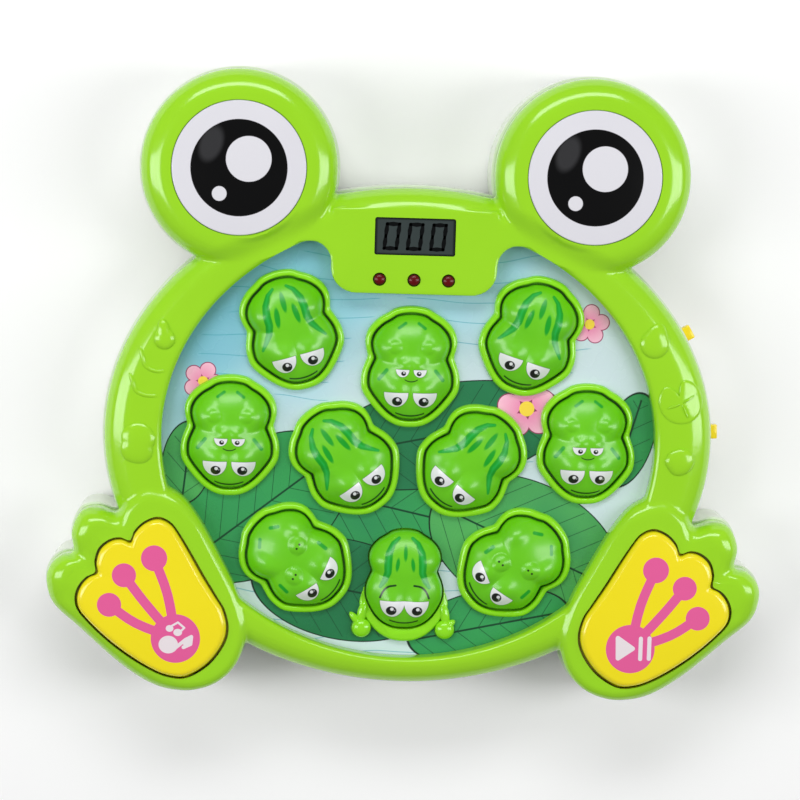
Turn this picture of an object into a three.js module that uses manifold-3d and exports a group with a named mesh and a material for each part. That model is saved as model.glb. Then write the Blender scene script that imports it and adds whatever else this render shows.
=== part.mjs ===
import * as THREE from 'three';
import { mergeVertices } from 'three/addons/utils/BufferGeometryUtils.js';
import Module from 'manifold-3d';

// A frog-shaped pounding game that lies on its back: ten sprung frogs in a green front,
// a display and three lamps at the top, two foot buttons, and a pale back shell with the cells.
// Millimetres. +X is the game's right, +Y its head end, +Z out of its face.
// The origin is on the table, under the middle of the outline.

const wasm = await Module();
wasm.setup();

// Body ring, seen from the front
const ringWidth = 255;
const ringLength = 209;
const sideRim = 25;
const topRim = 14.5;
const bottomRim = 12.5;
const frontInset = 0.9;

// Eye lobes and eye discs
const eyeRadius = 41.5;
const eyeDegrees = 56.5;
const eyeOverlap = 19.6;
const discRadius = 27.5;
const discThickness = 1.2;
const discRecess = 1.2;

// Feet and foot buttons
const footWidth = 85.6;
const footLength = 89.2;
const footDegrees = -31.1;
const footOverlap = 37.4;
const buttonProud = 2.4;

// Display tab that hangs from the top of the ring
const tabWidth = 68.7;
const tabDrop = 30;
const tabCorner = 9;
const tabFillet = 6.5;
const windowWidth = 33.3;
const windowHeight = 15.4;
const windowRise = 23.8;
const lampRadius = 2.5;
const lampPitch = 14.2;
const lampRise = 6;
const lampSteps = [-1, 0, 1];

// Frogs and their collars: what is left of the field after these gaps
const sideGap = 8;
const columnGap = 8.9;
const tabGap = 6.2;
const bottomGap = 4.3;
const rowNesting = 2;
const middleGap = 8;
const lowerGap = 4.2;
const cornerRise = 14;
const flankRise = 16;
const middleRise = 7;
const lowerRise = 11;
const lastFrogRise = 4;
const upperFrogDegrees = 17;
const middleFrogDegrees = 39;
const lowerFrogDegrees = 50;
const collarWall = 2;
const collarHeight = 3.5;
const frogTravel = 4;
const frogHeight = 12.5;
const frogWallHeight = 2.6;

// Walls, plates and clearances
const wall = 2.2;
const thinWall = 1.5;
const gap = 0.3;
const runningGap = 0.6;
const plateEdge = 4.5;
const overrun = 1;
const shellChamfer = 2.5;

// Heights, counted up from the table
const padHeight = 2;
const skirtDepth = 6.2;
const deckThickness = 2;
const sheetThickness = 0.5;
const ringHeight = 14.5;
const eyeHeight = 18.8;
const footHeight = 16;
const shoulderRound = 10;
const footRound = 6;

// Cells and boards
const cellDiameter = 14.5;
const cellLength = 50.5;
const cellGap = 0.6;
const springRoom = 4;
const contactThickness = 0.5;
const bayOffset = 12;
const boardThickness = 1.6;
const domeRest = 2;
const domeHeight = frogTravel + domeRest;
const domeRadius = 7;
const flangeThickness = 1.5;
const flangeReach = 1.2;
const stemRadius = 3.2;
const stemBelowFlange = 3.4;

// Fasteners, pads and small pieces
const doorThickness = 1.8;
const padRadius = 7;
const padSink = 0.6;
const screwShank = 1.1;
const screwHead = 2.7;
const screwHeadHeight = 2;
const screwLength = 14;
const bossRadius = 3.4;
const pillarRadius = 2.5;
const speakerRadius = 22;
const speakerHeight = 12;
const knobWidth = 6;
const knobProud = 3.4;
const knobHeight = 5;
const knobTravel = 3;
const switchDegrees = [20.9, 1.6];
const switchWidth = 16;
const switchDepth = 7;
const switchHeight = 9;

// Facets of round pieces
const ringSides = 40;
const eyeSides = 24;
const footSides = 30;
const frogSides = 20;
const roundSides = 10;
const smallSides = 8;
const cornerSteps = 4;

// Levels that follow from the sizes above
const shellBottom = padHeight;
const floorTop = shellBottom + wall;
const cellAxis = shellBottom + doorThickness + runningGap + cellDiameter / 2;
const bayCeiling = cellAxis + cellDiameter / 2 + gap;
const boardBottom = bayCeiling + thinWall + gap;
const boardTop = boardBottom + boardThickness;
const domeBottom = boardTop + gap;
const domeTop = domeBottom + domeHeight;
const stemBottom = domeTop + gap;
const flangeBottom = stemBottom + stemBelowFlange;
const flangeTop = flangeBottom + flangeThickness;
const deckBottom = flangeTop + gap;
const deckTop = deckBottom + deckThickness;
const sheetBottom = deckTop + gap;
const sheetTop = sheetBottom + sheetThickness;
const lipBottom = sheetTop + gap;
const bezelBottom = lipBottom - skirtDepth;
const shellTop = bezelBottom - gap;
const collarTop = deckTop + collarHeight;
const frogTop = deckTop + frogHeight;
const ringTop = bezelBottom + ringHeight;
const eyeTop = bezelBottom + eyeHeight;
const footTop = bezelBottom + footHeight;

// Field inside the ring
const halfWidth = ringWidth / 2;
const halfLength = ringLength / 2;
const openingHalfWidth = halfWidth - sideRim;
const openingHalfLength = halfLength - (topRim + bottomRim) / 2;
const openingY = (bottomRim - topRim) / 2;
const tabBottom = openingY + openingHalfLength - tabDrop;
const windowY = tabBottom + windowRise;
const lampY = tabBottom + lampRise;

// Frog sizes: four collars fill the width, three fill the length below the tab
const collarWidth = (2 * openingHalfWidth - 2 * sideGap - 3 * columnGap) / 4;
const fieldLength = 2 * openingHalfLength - tabDrop - tabGap - bottomGap;
const collarLength = (fieldLength + 2 * rowNesting) / 3;
const frogWidth = collarWidth - 2 * (collarWall + runningGap);
const frogLength = collarLength - 2 * (collarWall + runningGap);
const fieldBottom = openingY - openingHalfLength;

// Half of a frog's outline from the rump over both cheeks to the chin
const frogOutlineShares = [
  [0, 0.5], [0.24, 0.428], [0.413, 0.323], [0.48, 0.2], [0.424, 0.068],
  [0.497, -0.124], [0.446, -0.265], [0.294, -0.39], [0, -0.5],
];

// Left foot's outline: toes along the top left, heel at the bottom right
const footOutlineShares = [
  [0.006, 0.5], [-0.099, 0.442], [-0.158, 0.353], [-0.257, 0.374], [-0.336, 0.35],
  [-0.38, 0.254], [-0.37, 0.158], [-0.424, 0.142], [-0.479, 0.095], [-0.5, 0.02],
  [-0.465, -0.092], [-0.336, -0.207], [-0.138, -0.372], [0.035, -0.474], [0.183, -0.5],
  [0.364, -0.424], [0.465, -0.339], [0.5, -0.177], [0.44, 0.008], [0.347, 0.182],
  [0.248, 0.344], [0.147, 0.452],
];

// Left foot button's outline, in the same shares of the foot's size
const buttonOutlineShares = [
  [0.03, 0.323], [-0.065, 0.257], [-0.076, 0.214], [-0.161, 0.223], [-0.22, 0.182],
  [-0.241, 0.118], [-0.236, 0.062], [-0.291, 0.036], [-0.331, -0.05], [-0.317, -0.107],
  [-0.194, -0.226], [-0.027, -0.345], [0.168, -0.41], [0.3, -0.35], [0.39, -0.203],
  [0.369, -0.091], [0.268, 0.057], [0.152, 0.24], [0.112, 0.296],
];
const buttonCentreShares = [0.03, -0.06];
const buttonStemShares = [0.05, -0.1];

// Finishes
const finish = (color, roughness, metalness = 0) => ({ color, roughness, metalness });
const limePlastic = finish(0x9be02f, 0.22);
const palePlastic = finish(0xe6ece0, 0.35);
const collarPlastic = finish(0x8ade2a, 0.25);
const frogPlastic = finish(0x63cc1c, 0.15);
const sheetPaper = finish(0x7fc0cc, 0.4);
const yellowPlastic = finish(0xf4de23, 0.25);
const eyeWhite = finish(0xeceaf0, 0.2);
const darkGlass = finish(0x3c4646, 0.12);
const redLens = finish(0x7a0a14, 0.1);
const boardGreen = finish(0x2d6b3a, 0.5);
const greyRubber = finish(0xb9bcc0, 0.8);
const blackRubber = finish(0x2a2a2c, 0.9);
const blackPlastic = finish(0x222325, 0.5);
const steel = finish(0xb8bcc2, 0.35, 0.9);
const cellJacket = finish(0x33373d, 0.4, 0.2);

const game = new THREE.Group();
const body = new THREE.Group();
game.add(body);

// Solids: closed geometry with merged corners goes in, a plain triangle geometry comes out
function solidOf(geometry) {
  geometry.deleteAttribute('normal');
  geometry.deleteAttribute('uv');
  const merged = mergeVertices(geometry, 1e-4);
  const corners = Array.from(merged.index.array);
  const kept = [];
  for (let i = 0; i < corners.length; i += 3) {
    const [a, b, c] = corners.slice(i, i + 3);
    if (a !== b && b !== c && c !== a) kept.push(a, b, c);
  }
  return new wasm.Manifold(new wasm.Mesh({
    numProp: 3,
    vertProperties: new Float32Array(merged.attributes.position.array),
    triVerts: new Uint32Array(kept),
  }));
}

function geometryOf(solid) {
  const mesh = solid.getMesh();
  const geometry = new THREE.BufferGeometry();
  geometry.setAttribute('position', new THREE.BufferAttribute(mesh.vertProperties, 3));
  geometry.setIndex(new THREE.BufferAttribute(mesh.triVerts, 1));
  geometry.computeVertexNormals();
  return geometry;
}

function addPiece(name, solid, look, place = {}) {
  const mesh = new THREE.Mesh(geometryOf(solid), new THREE.MeshStandardMaterial(look));
  mesh.name = name;
  mesh.position.set(place.x ?? 0, place.y ?? 0, place.z ?? 0);
  mesh.rotation.z = place.turn ?? 0;
  body.add(mesh);
  return mesh;
}

const joined = (solids) => solids.reduce((all, solid) => all.add(solid));
const cut = (solid, tools) => tools.reduce((rest, tool) => rest.subtract(tool), solid);

// A piece turned about Z whose section may change with the angle:
// sectionAt(angle) lists [radius, height] pairs, up the outside and back down the inside
function turned(sectionAt, sides, place = {}) {
  const rows = sectionAt(0).length;
  const profile = Array.from({ length: rows }, () => new THREE.Vector2(1, 0));
  const geometry = new THREE.LatheGeometry(profile, sides);
  const positions = geometry.attributes.position;
  for (let side = 0; side <= sides; side += 1) {
    const angle = (side % sides) / sides * 2 * Math.PI;
    sectionAt(angle).forEach(([radius, height], row) => {
      const x = Math.cos(angle) * radius;
      const y = Math.sin(angle) * radius;
      positions.setXYZ(side * rows + row, x, y, height);
    });
  }
  geometry.rotateZ(place.turn ?? 0);
  geometry.translate(place.x ?? 0, place.y ?? 0, place.z ?? 0);
  return solidOf(geometry);
}

const rod = (radius, bottom, top, sides, place) => (
  turned(() => [[0, bottom], [radius, bottom], [radius, top], [0, top]], sides, place)
);

const lathe = (section, sides, place) => turned(() => section, sides, place);

function block(width, depth, bottom, top, place = {}) {
  const geometry = new THREE.BoxGeometry(width, depth, top - bottom);
  geometry.translate(place.inX ?? 0, place.inY ?? 0, (bottom + top) / 2);
  geometry.rotateZ(place.turn ?? 0);
  geometry.translate(place.x ?? 0, place.y ?? 0, 0);
  return solidOf(geometry);
}

function plate(shape, bottom, top) {
  const geometry = new THREE.ExtrudeGeometry(shape, {
    depth: top - bottom, bevelEnabled: false, curveSegments: cornerSteps,
  });
  geometry.translate(0, 0, bottom);
  return solidOf(geometry);
}

// Outlines become functions that give the radius at an angle
function radiusOf(points) {
  return (angle) => {
    const [dx, dy] = [Math.cos(angle), Math.sin(angle)];
    let reach = 0;
    points.forEach((start, i) => {
      const end = points[(i + 1) % points.length];
      const [ex, ey] = [end.x - start.x, end.y - start.y];
      const across = dx * ey - dy * ex;
      if (across === 0) return;
      const along = (start.x * ey - start.y * ex) / across;
      const part = (start.x * dy - start.y * dx) / across;
      if (along > 0 && part >= 0 && part <= 1) reach = Math.max(reach, along);
    });
    return reach;
  };
}

function smoothOutline(shares, width, length, steps, centreShares = [0, 0]) {
  const corners = shares.map(([x, y]) => (
    new THREE.Vector3((x - centreShares[0]) * width, (y - centreShares[1]) * length, 0)
  ));
  return new THREE.CatmullRomCurve3(corners, true).getPoints(steps).slice(1);
}

const mirrored = (radiusAt) => (angle) => radiusAt(Math.PI - angle);
const ellipseAt = (halfX, halfY, y = 0) => (
  radiusOf(new THREE.EllipseCurve(0, y, halfX, halfY).getPoints(4 * ringSides).slice(1))
);

// A rounded shoulder from a vertical side up to a flat top, or the inside of one
const shoulderShares = [0, 0.5, 1];
const ringRoundShare = 0.8;
function shoulder(radius, round, top, thickness) {
  const kept = Math.max(round - thickness, gap);
  return shoulderShares.map((share) => {
    const angle = share * Math.PI / 2;
    return [
      radius - thickness - kept * (1 - Math.cos(angle)),
      top - thickness - kept * (1 - Math.sin(angle)),
    ];
  });
}

// Outlines of this game
const openingAt = ellipseAt(openingHalfWidth, openingHalfLength, openingY);
const rimAt = ellipseAt(halfWidth, halfLength);
const grownOpeningAt = (growth) => (angle) => openingAt(angle) + growth;
const frogCorners = [
  ...frogOutlineShares,
  ...frogOutlineShares.slice(1, -1).reverse().map(([x, y]) => [-x, y]),
];
const frogAt = radiusOf(smoothOutline(frogCorners, frogWidth, frogLength, 4 * frogSides));
const leftFootAt = radiusOf(smoothOutline(footOutlineShares, footWidth, footLength, 4 * footSides));
const leftButtonAt = radiusOf(
  smoothOutline(buttonOutlineShares, footWidth, footLength, 4 * footSides, buttonCentreShares),
);

// Places, counted from the ring's centre
const turnOf = (degrees) => degrees * Math.PI / 180;
const eyeAngle = turnOf(eyeDegrees);
const eyeReach = rimAt(eyeAngle) + eyeRadius - eyeOverlap;
const eyeX = eyeReach * Math.cos(eyeAngle);
const eyeY = eyeReach * Math.sin(eyeAngle);
const footAngle = turnOf(footDegrees);
const footReach = rimAt(-footAngle) + footWidth / 2 - footOverlap;
const footX = footReach * Math.cos(footAngle);
const footY = footReach * Math.sin(footAngle);
const sides = [
  { name: 'left', sign: -1, footAt: leftFootAt, buttonAt: leftButtonAt },
  { name: 'right', sign: 1, footAt: mirrored(leftFootAt), buttonAt: mirrored(leftButtonAt) },
];
const footPlace = ({ sign }) => ({ x: sign * footX, y: footY });
const onFoot = ({ sign }, [x, y]) => ({ x: sign * (footX - x * footWidth), y: footY + y * footLength });

// Frog places: the middle column and rows hang on the field's edges, the rest on the gaps
const reachAcross = (turn) => Math.hypot(collarWidth / 2 * Math.cos(turn), collarLength / 2 * Math.sin(turn));
const upperTurn = turnOf(upperFrogDegrees);
const middleTurn = turnOf(middleFrogDegrees);
const lowerTurn = turnOf(lowerFrogDegrees);
const upperY = tabBottom - tabGap - collarLength / 2;
const lowerY = fieldBottom + bottomGap + collarLength / 2;
const middleY = (upperY + lowerY) / 2;
const cornerX = collarWidth / 2 + columnGap + reachAcross(upperTurn);
const flankX = openingHalfWidth - sideGap - collarWidth / 2;
const middleX = middleGap / 2 + reachAcross(middleTurn);
const lowerX = collarWidth / 2 - collarWall + lowerGap + reachAcross(lowerTurn);
const frogs = [
  { name: 'upper_left', x: -cornerX, y: upperY + cornerRise, turn: upperTurn },
  { name: 'upper_middle', x: 0, y: upperY, turn: 0 },
  { name: 'upper_right', x: cornerX, y: upperY + cornerRise, turn: -upperTurn },
  { name: 'far_left', x: -flankX, y: middleY + flankRise, turn: 0 },
  { name: 'inner_left', x: -middleX, y: middleY + middleRise, turn: middleTurn },
  { name: 'inner_right', x: middleX, y: middleY + middleRise, turn: -middleTurn },
  { name: 'far_right', x: flankX, y: middleY + flankRise, turn: 0 },
  { name: 'lower_left', x: -lowerX, y: lowerY + lowerRise, turn: lowerTurn },
  { name: 'lower_middle', x: 0, y: lowerY + lastFrogRise, turn: 0 },
  { name: 'lower_right', x: lowerX, y: lowerY + lowerRise, turn: -lowerTurn },
];

// Pillars stand between three frogs each, where the deck plate has no hole
const frogNamed = (name) => frogs.find((frog) => frog.name === name);
function between(names) {
  const near = names.map(frogNamed);
  return {
    x: near.reduce((sum, frog) => sum + frog.x, 0) / near.length,
    y: near.reduce((sum, frog) => sum + frog.y, 0) / near.length,
  };
}
const edgeShare = 0.84;
function nearEdge(names) {
  const { x, y } = between(names);
  const angle = Math.atan2(y, x);
  const reach = openingAt(angle) * edgeShare;
  return { x: reach * Math.cos(angle), y: reach * Math.sin(angle) };
}
const pillarPlaces = [
  between(['upper_middle', 'inner_left', 'inner_right']),
  between(['upper_left', 'far_left', 'inner_left']),
  between(['upper_right', 'far_right', 'inner_right']),
  between(['inner_left', 'lower_left', 'lower_middle']),
  between(['inner_right', 'lower_right', 'lower_middle']),
  nearEdge(['upper_left', 'far_left']),
  nearEdge(['upper_right', 'far_right']),
  nearEdge(['far_left', 'lower_left']),
  nearEdge(['far_right', 'lower_right']),
];

// Case screws: two in the eye lobes, two in the ring's sides, two in the feet
const eyeScrewRise = 12;
const sideScrewY = 22;
const sideScrewX = (halfWidth + openingHalfWidth + plateEdge) / 2;
const footScrewShares = [0.45, -0.2];
const screwPlaces = sides.flatMap((side) => [
  { name: `eye_${side.name}`, x: side.sign * eyeX, y: eyeY + eyeScrewRise },
  { name: `side_${side.name}`, x: side.sign * sideScrewX, y: sideScrewY },
  { name: `foot_${side.name}`, ...onFoot(side, footScrewShares) },
]);

// Rubber pads under the lobes and the feet
const eyePadReach = 20;
const eyePadDrop = 8;
const footPadShares = [0.08, -0.28];
const padPlaces = sides.flatMap((side) => [
  { name: `head_${side.name}`, x: side.sign * (eyeX + eyePadReach), y: eyeY - eyePadDrop },
  { name: `foot_${side.name}`, ...onFoot(side, footPadShares) },
]);

// Battery bay
const bayWidth = 3 * cellDiameter + 4 * cellGap;
const bayLength = cellLength + 2 * springRoom;
const bayY = bayOffset;
const bayEndY = bayY + bayLength / 2;
const bayStartY = bayY - bayLength / 2;

// Side switches: stations on the right wall, at two angles from the ring's centre
const switchAngles = switchDegrees.map(turnOf);
const switchAxisHeight = (floorTop + shellTop) / 2;
const knobLow = switchAxisHeight - knobHeight / 2;
const knobHigh = switchAxisHeight + knobHeight / 2;
const stations = switchAngles.map((angle) => {
  const reach = rimAt(angle);
  const x = reach * Math.cos(angle);
  const y = reach * Math.sin(angle);
  return { x, y, turn: Math.atan2(y / halfLength ** 2, x / halfWidth ** 2) };
});
const slotWidth = knobWidth + 2 * knobTravel + 2 * runningGap;
const switchSetback = wall + runningGap + gap + (switchWidth / 2) ** 2 * halfWidth / (2 * halfLength ** 2);

// Outer form of the front: ring, lobes, feet and tab, each with its rounded shoulder
function ringSolid(thickness) {
  const bottom = thickness ? bezelBottom - overrun : bezelBottom;
  return turned((angle) => {
    const outer = rimAt(angle) - frontInset;
    const inner = openingAt(angle);
    const round = Math.min(shoulderRound, (outer - inner) * ringRoundShare);
    return [
      [inner + thickness, bottom], [outer - thickness, bottom], ...shoulder(outer, round, ringTop, thickness),
      [inner + thickness, ringTop - thickness], [inner + thickness, bottom],
    ];
  }, ringSides);
}

function capSolid(radiusAt, round, top, thickness, sideCount, place) {
  const bottom = thickness ? bezelBottom - overrun : bezelBottom;
  return turned((angle) => {
    const radius = radiusAt(angle) - frontInset;
    return [
      [0, bottom], [radius - thickness, bottom], ...shoulder(radius, round, top, thickness),
      [0, top - thickness],
    ];
  }, sideCount, place);
}

function tabShape(inset) {
  const side = tabWidth / 2 - inset;
  const foot = tabBottom + inset;
  const corner = tabCorner - inset;
  const fillet = tabFillet + inset;
  const reach = side + fillet;
  const joinY = openingY + openingHalfLength * Math.sqrt(1 - (reach / openingHalfWidth) ** 2);
  const top = openingY + openingHalfLength + inset;
  const shape = new THREE.Shape();
  shape.moveTo(-reach, top);
  shape.lineTo(-reach, joinY);
  shape.absarc(-reach, joinY - fillet, fillet, Math.PI / 2, 0, true);
  shape.lineTo(-side, foot + corner);
  shape.absarc(-side + corner, foot + corner, corner, Math.PI, 1.5 * Math.PI, false);
  shape.absarc(side - corner, foot + corner, corner, 1.5 * Math.PI, 2 * Math.PI, false);
  shape.lineTo(side, joinY - fillet);
  shape.absarc(reach, joinY - fillet, fillet, Math.PI, Math.PI / 2, true);
  shape.lineTo(reach, top);
  shape.closePath();
  return shape;
}

const roundEye = () => eyeRadius;
function frontForm(thickness) {
  return joined([
    ringSolid(thickness),
    ...sides.map(({ sign }) => (
      capSolid(roundEye, shoulderRound, eyeTop, thickness, eyeSides, { x: sign * eyeX, y: eyeY })
    )),
    ...sides.map((side) => (
      capSolid(side.footAt, footRound, footTop, thickness, footSides, footPlace(side))
    )),
    plate(tabShape(thickness), thickness ? bezelBottom - overrun : bezelBottom, ringTop - thickness),
  ]);
}

// Tray with the front's outline, a little larger and chamfered at the table side
function trayForm(inset, bottom, top) {
  const edge = inset ? 0 : shellChamfer;
  const section = (radius) => [
    [0, bottom], [radius - inset - edge, bottom], [radius - inset, bottom + edge], [radius - inset, top],
    [0, top],
  ];
  return joined([
    turned((angle) => section(rimAt(angle)), ringSides),
    ...sides.map(({ sign }) => turned(() => section(eyeRadius), eyeSides, { x: sign * eyeX, y: eyeY })),
    ...sides.map((side) => turned((angle) => section(side.footAt(angle)), footSides, footPlace(side))),
  ]);
}

// Front bezel: the hollow form with its openings and bosses
const frogHoleAt = (growth) => (angle) => frogAt(angle) + growth;
const buttonHoleAt = (side, growth) => (angle) => side.buttonAt(angle) + growth;
const buttonFlangeTop = footTop - wall - gap - runningGap;
const buttonPlace = (side) => onFoot(side, [buttonCentreShares[0], buttonCentreShares[1]]);
const prism = (radiusAt, bottom, top, sideCount, place) => turned((angle) => [
  [0, bottom], [radiusAt(angle), bottom], [radiusAt(angle), top], [0, top],
], sideCount, place);

const postTop = bezelBottom - ringHeight / 2;
const displayPinX = windowWidth / 2 + bossRadius;
const roofUnder = ringTop - wall;
const displayBoardTop = roofUnder - 2 * gap - lampRadius;
const displayPins = [-1, 1].flatMap((sign) => [
  { x: sign * displayPinX, y: lampY },
  { x: sign * displayPinX, y: windowY },
]);
function bezel() {
  const form = frontForm(0);
  const shell = cut(form, [
    frontForm(wall),
    prism(grownOpeningAt(wall + overrun), bezelBottom - overrun, lipBottom, ringSides),
  ]);
  const bosses = screwPlaces.map((place) => rod(bossRadius, bezelBottom, eyeTop, smallSides, place));
  const bossEnds = screwPlaces.map((place) => (
    rod(bossRadius, postTop + gap, bezelBottom + gap, smallSides, place)
  ));
  const bossRoom = trayForm(wall + gap, postTop, bezelBottom + overrun);
  const pins = displayPins.map((place) => (
    rod(stemRadius, displayBoardTop + gap, roofUnder + gap, smallSides, place)
  ));
  const pilots = screwPlaces.map((place) => (
    rod(screwShank + gap, postTop - overrun, postTop + screwLength, smallSides, place)
  ));
  const recesses = sides.map(({ sign }) => (
    rod(discRadius + gap, eyeTop - discRecess, eyeTop + overrun, eyeSides, { x: sign * eyeX, y: eyeY })
  ));
  const buttonHoles = sides.map((side) => (
    prism(buttonHoleAt(side, runningGap), lipBottom, footTop + overrun, footSides, buttonPlace(side))
  ));
  const flangeRooms = sides.map((side) => (
    prism(buttonHoleAt(side, flangeReach + gap), lipBottom, buttonFlangeTop + gap, footSides,
      buttonPlace(side))
  ));
  const collarRoomAt = frogHoleAt(runningGap + collarWall + gap);
  const collarRooms = frogs.map((frog) => (
    prism(collarRoomAt, bezelBottom - overrun, collarTop + gap, frogSides, frog)
  ));
  const lampHoles = lampSteps.map((step) => (
    rod(lampRadius + gap, displayBoardTop, ringTop + overrun, roundSides, { x: step * lampPitch, y: lampY })
  ));
  const window = block(windowWidth, windowHeight, displayBoardTop, ringTop + overrun, { y: windowY });
  return cut(joined([shell, joined(bosses).intersect(form), joined(bossEnds).intersect(bossRoom), ...pins]), [
    ...pilots, ...recesses, ...buttonHoles, ...flangeRooms, ...collarRooms, ...lampHoles, window,
  ]);
}
addPiece('top_bezel', bezel(), limePlastic);

// Back shell: the tray with its posts, the battery bay and the loudspeaker's seat
const postRadius = screwHead + gap + thinWall;
const doorGap = 0.4;
const tongueWidth = 14;
const tongueLength = 9;
const tongueThickness = doorThickness + thinWall;
const doorScrewPlace = { x: 0, y: bayStartY - tongueLength / 2 };
const doorBossTop = cellAxis + thinWall;
const tabPocket = 4;
const tabPlaces = [-1, 1].map((sign) => sign * bayWidth / 4);
const hookWidth = 8;
const hookGap = 0.4;
const hookLow = shellBottom + doorThickness + gap + hookGap;
const hookHigh = hookLow + thinWall;

// Loudspeaker behind a slotted grille, below the battery bay
const speakerPlace = { x: 0, y: bayStartY - tongueLength - speakerRadius - 3 * thinWall - 2 * gap };
const grilleRadius = speakerRadius - 2 * wall;
const grilleSlot = 2.4;
const grillePitch = 5.5;
const grilleSteps = [-2, -1, 0, 1, 2];
const speakerWallTop = floorTop + 2 * wall;

function backShell() {
  const form = trayForm(0, shellBottom, shellTop);
  const tray = form.subtract(trayForm(wall, floorTop, shellTop + overrun));
  const screwPosts = screwPlaces.map((place) => rod(postRadius, shellBottom, postTop, roundSides, place));
  const low = shellBottom + gap;
  const under = shellBottom - overrun;
  const bay = block(bayWidth + 2 * thinWall, bayLength + 2 * thinWall, low, bayCeiling + thinWall,
    { y: bayY });
  const boardPosts = pillarPlaces.slice(1).map((place) => (
    rod(pillarRadius, low, boardBottom - gap, smallSides, place)
  ));
  const footPosts = sides.map((side) => (
    rod(bossRadius, low, boardBottom - gap, smallSides, onFoot(side, buttonStemShares))
  ));
  const tongueY = bayStartY - tongueLength / 2;
  const doorBoss = block(tongueWidth + 2 * thinWall, tongueLength + 2 * thinWall, low, doorBossTop,
    { y: tongueY });
  const speakerWall = rod(speakerRadius + gap + thinWall, low, speakerWallTop, 2 * roundSides, speakerPlace);
  const speakerRoom = rod(speakerRadius + gap, floorTop, speakerWallTop + overrun, 2 * roundSides,
    speakerPlace);
  const bayRoom = block(bayWidth, bayLength, under, bayCeiling, { y: bayY });
  const tongueRoom = block(tongueWidth, tongueLength + thinWall, under, shellBottom + tongueThickness + gap,
    { y: tongueY + thinWall / 2 });
  const hookRooms = tabPlaces.map((x) => (
    block(hookWidth + 2 * gap, 2 * tabPocket, hookLow - hookGap, floorTop + tabPocket, { x, y: bayEndY })
  ));
  const doorPilot = rod(screwShank + 3 * gap, shellBottom, doorBossTop + overrun, smallSides, doorScrewPlace);
  const counterbores = screwPlaces.map((place) => (
    rod(screwHead + gap, under, postTop - wall, roundSides, place)
  ));
  const screwHoles = screwPlaces.map((place) => (
    rod(screwShank + 2 * gap, shellBottom, postTop + overrun, smallSides, place)
  ));
  const padRooms = padPlaces.map((place) => (
    rod(padRadius + gap, under, low + padSink, roundSides, place)
  ));
  const grille = grilleSteps.map((step) => {
    const rise = step * grillePitch;
    const length = 2 * Math.sqrt(grilleRadius ** 2 - rise ** 2);
    return block(length, grilleSlot, under, floorTop + overrun, { y: speakerPlace.y + rise });
  });
  const knobSlots = stations.map(({ x, y, turn }) => (
    block(2 * wall, slotWidth, knobLow - gap, knobHigh + gap, { x, y, turn, inX: -wall / 2 })
  ));
  const posts = joined([...screwPosts, ...boardPosts, ...footPosts]).intersect(form);
  return cut(joined([tray, posts, bay, doorBoss, speakerWall]), [
    speakerRoom, bayRoom, tongueRoom, ...hookRooms, doorPilot, ...counterbores, ...screwHoles, ...padRooms,
    ...grille, ...knobSlots,
  ]);
}

addPiece('back_shell', backShell(), palePlastic);

// Deck plate with a collar round each frog, and pillars down to the main board
const handRadius = 4;
const handReachShare = 0.43;
const handDropShare = 0.44;
const handPlace = (sign) => ({
  x: sign * handReachShare * collarWidth,
  y: frogNamed('lower_middle').y - handDropShare * collarLength,
});

function collar(frog) {
  return turned((angle) => {
    const inner = frogAt(angle) + runningGap;
    const outer = inner + collarWall;
    return [
      [inner - gap, deckBottom + gap], [outer, deckBottom + gap], [outer, collarTop],
      [inner - gap, collarTop], [inner - gap, deckBottom + gap],
    ];
  }, frogSides, frog);
}

// Room for the front's screw bosses where the deck and its sheet reach them
const bossNotches = () => screwPlaces.map((place) => (
  rod(bossRadius + gap, deckBottom - overrun, sheetTop + overrun, smallSides, place)
));

function deckPlate() {
  const sheet = prism(grownOpeningAt(plateEdge), deckBottom, deckTop, ringSides);
  const collars = frogs.map(collar);
  const hands = [-1, 1].map((sign) => lathe([
    [0, deckBottom + gap], [handRadius, deckBottom + gap], [handRadius, collarTop - handRadius / 2],
    [handRadius / 2, collarTop + gap], [0, collarTop + gap],
  ], roundSides, handPlace(sign)));
  const pillars = pillarPlaces.map((place) => (
    rod(pillarRadius, boardTop + gap, deckBottom + gap, smallSides, place)
  ));
  const holes = frogs.map((frog) => (
    prism(frogHoleAt(runningGap), deckBottom - overrun, collarTop + overrun, frogSides, frog)
  ));
  return cut(joined([cut(sheet, bossNotches()), ...collars, ...hands, ...pillars]), holes);
}
addPiece('deck_plate', deckPlate(), collarPlastic);

// Printed sheet, cut out round each collar and the two hands
function printSheet() {
  const holeAt = frogHoleAt(runningGap + collarWall + gap);
  const holes = frogs.map((frog) => (
    prism(holeAt, sheetBottom - overrun, sheetTop + overrun, frogSides, frog)
  ));
  const handHoles = [-1, 1].map((sign) => (
    rod(handRadius + gap, sheetBottom - overrun, sheetTop + overrun, roundSides, handPlace(sign))
  ));
  const sheet = prism(grownOpeningAt(plateEdge - gap), sheetBottom, sheetTop, ringSides);
  return cut(sheet, [...holes, ...handHoles, ...bossNotches()]);
}
addPiece('print_sheet', printSheet(), sheetPaper);

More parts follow.
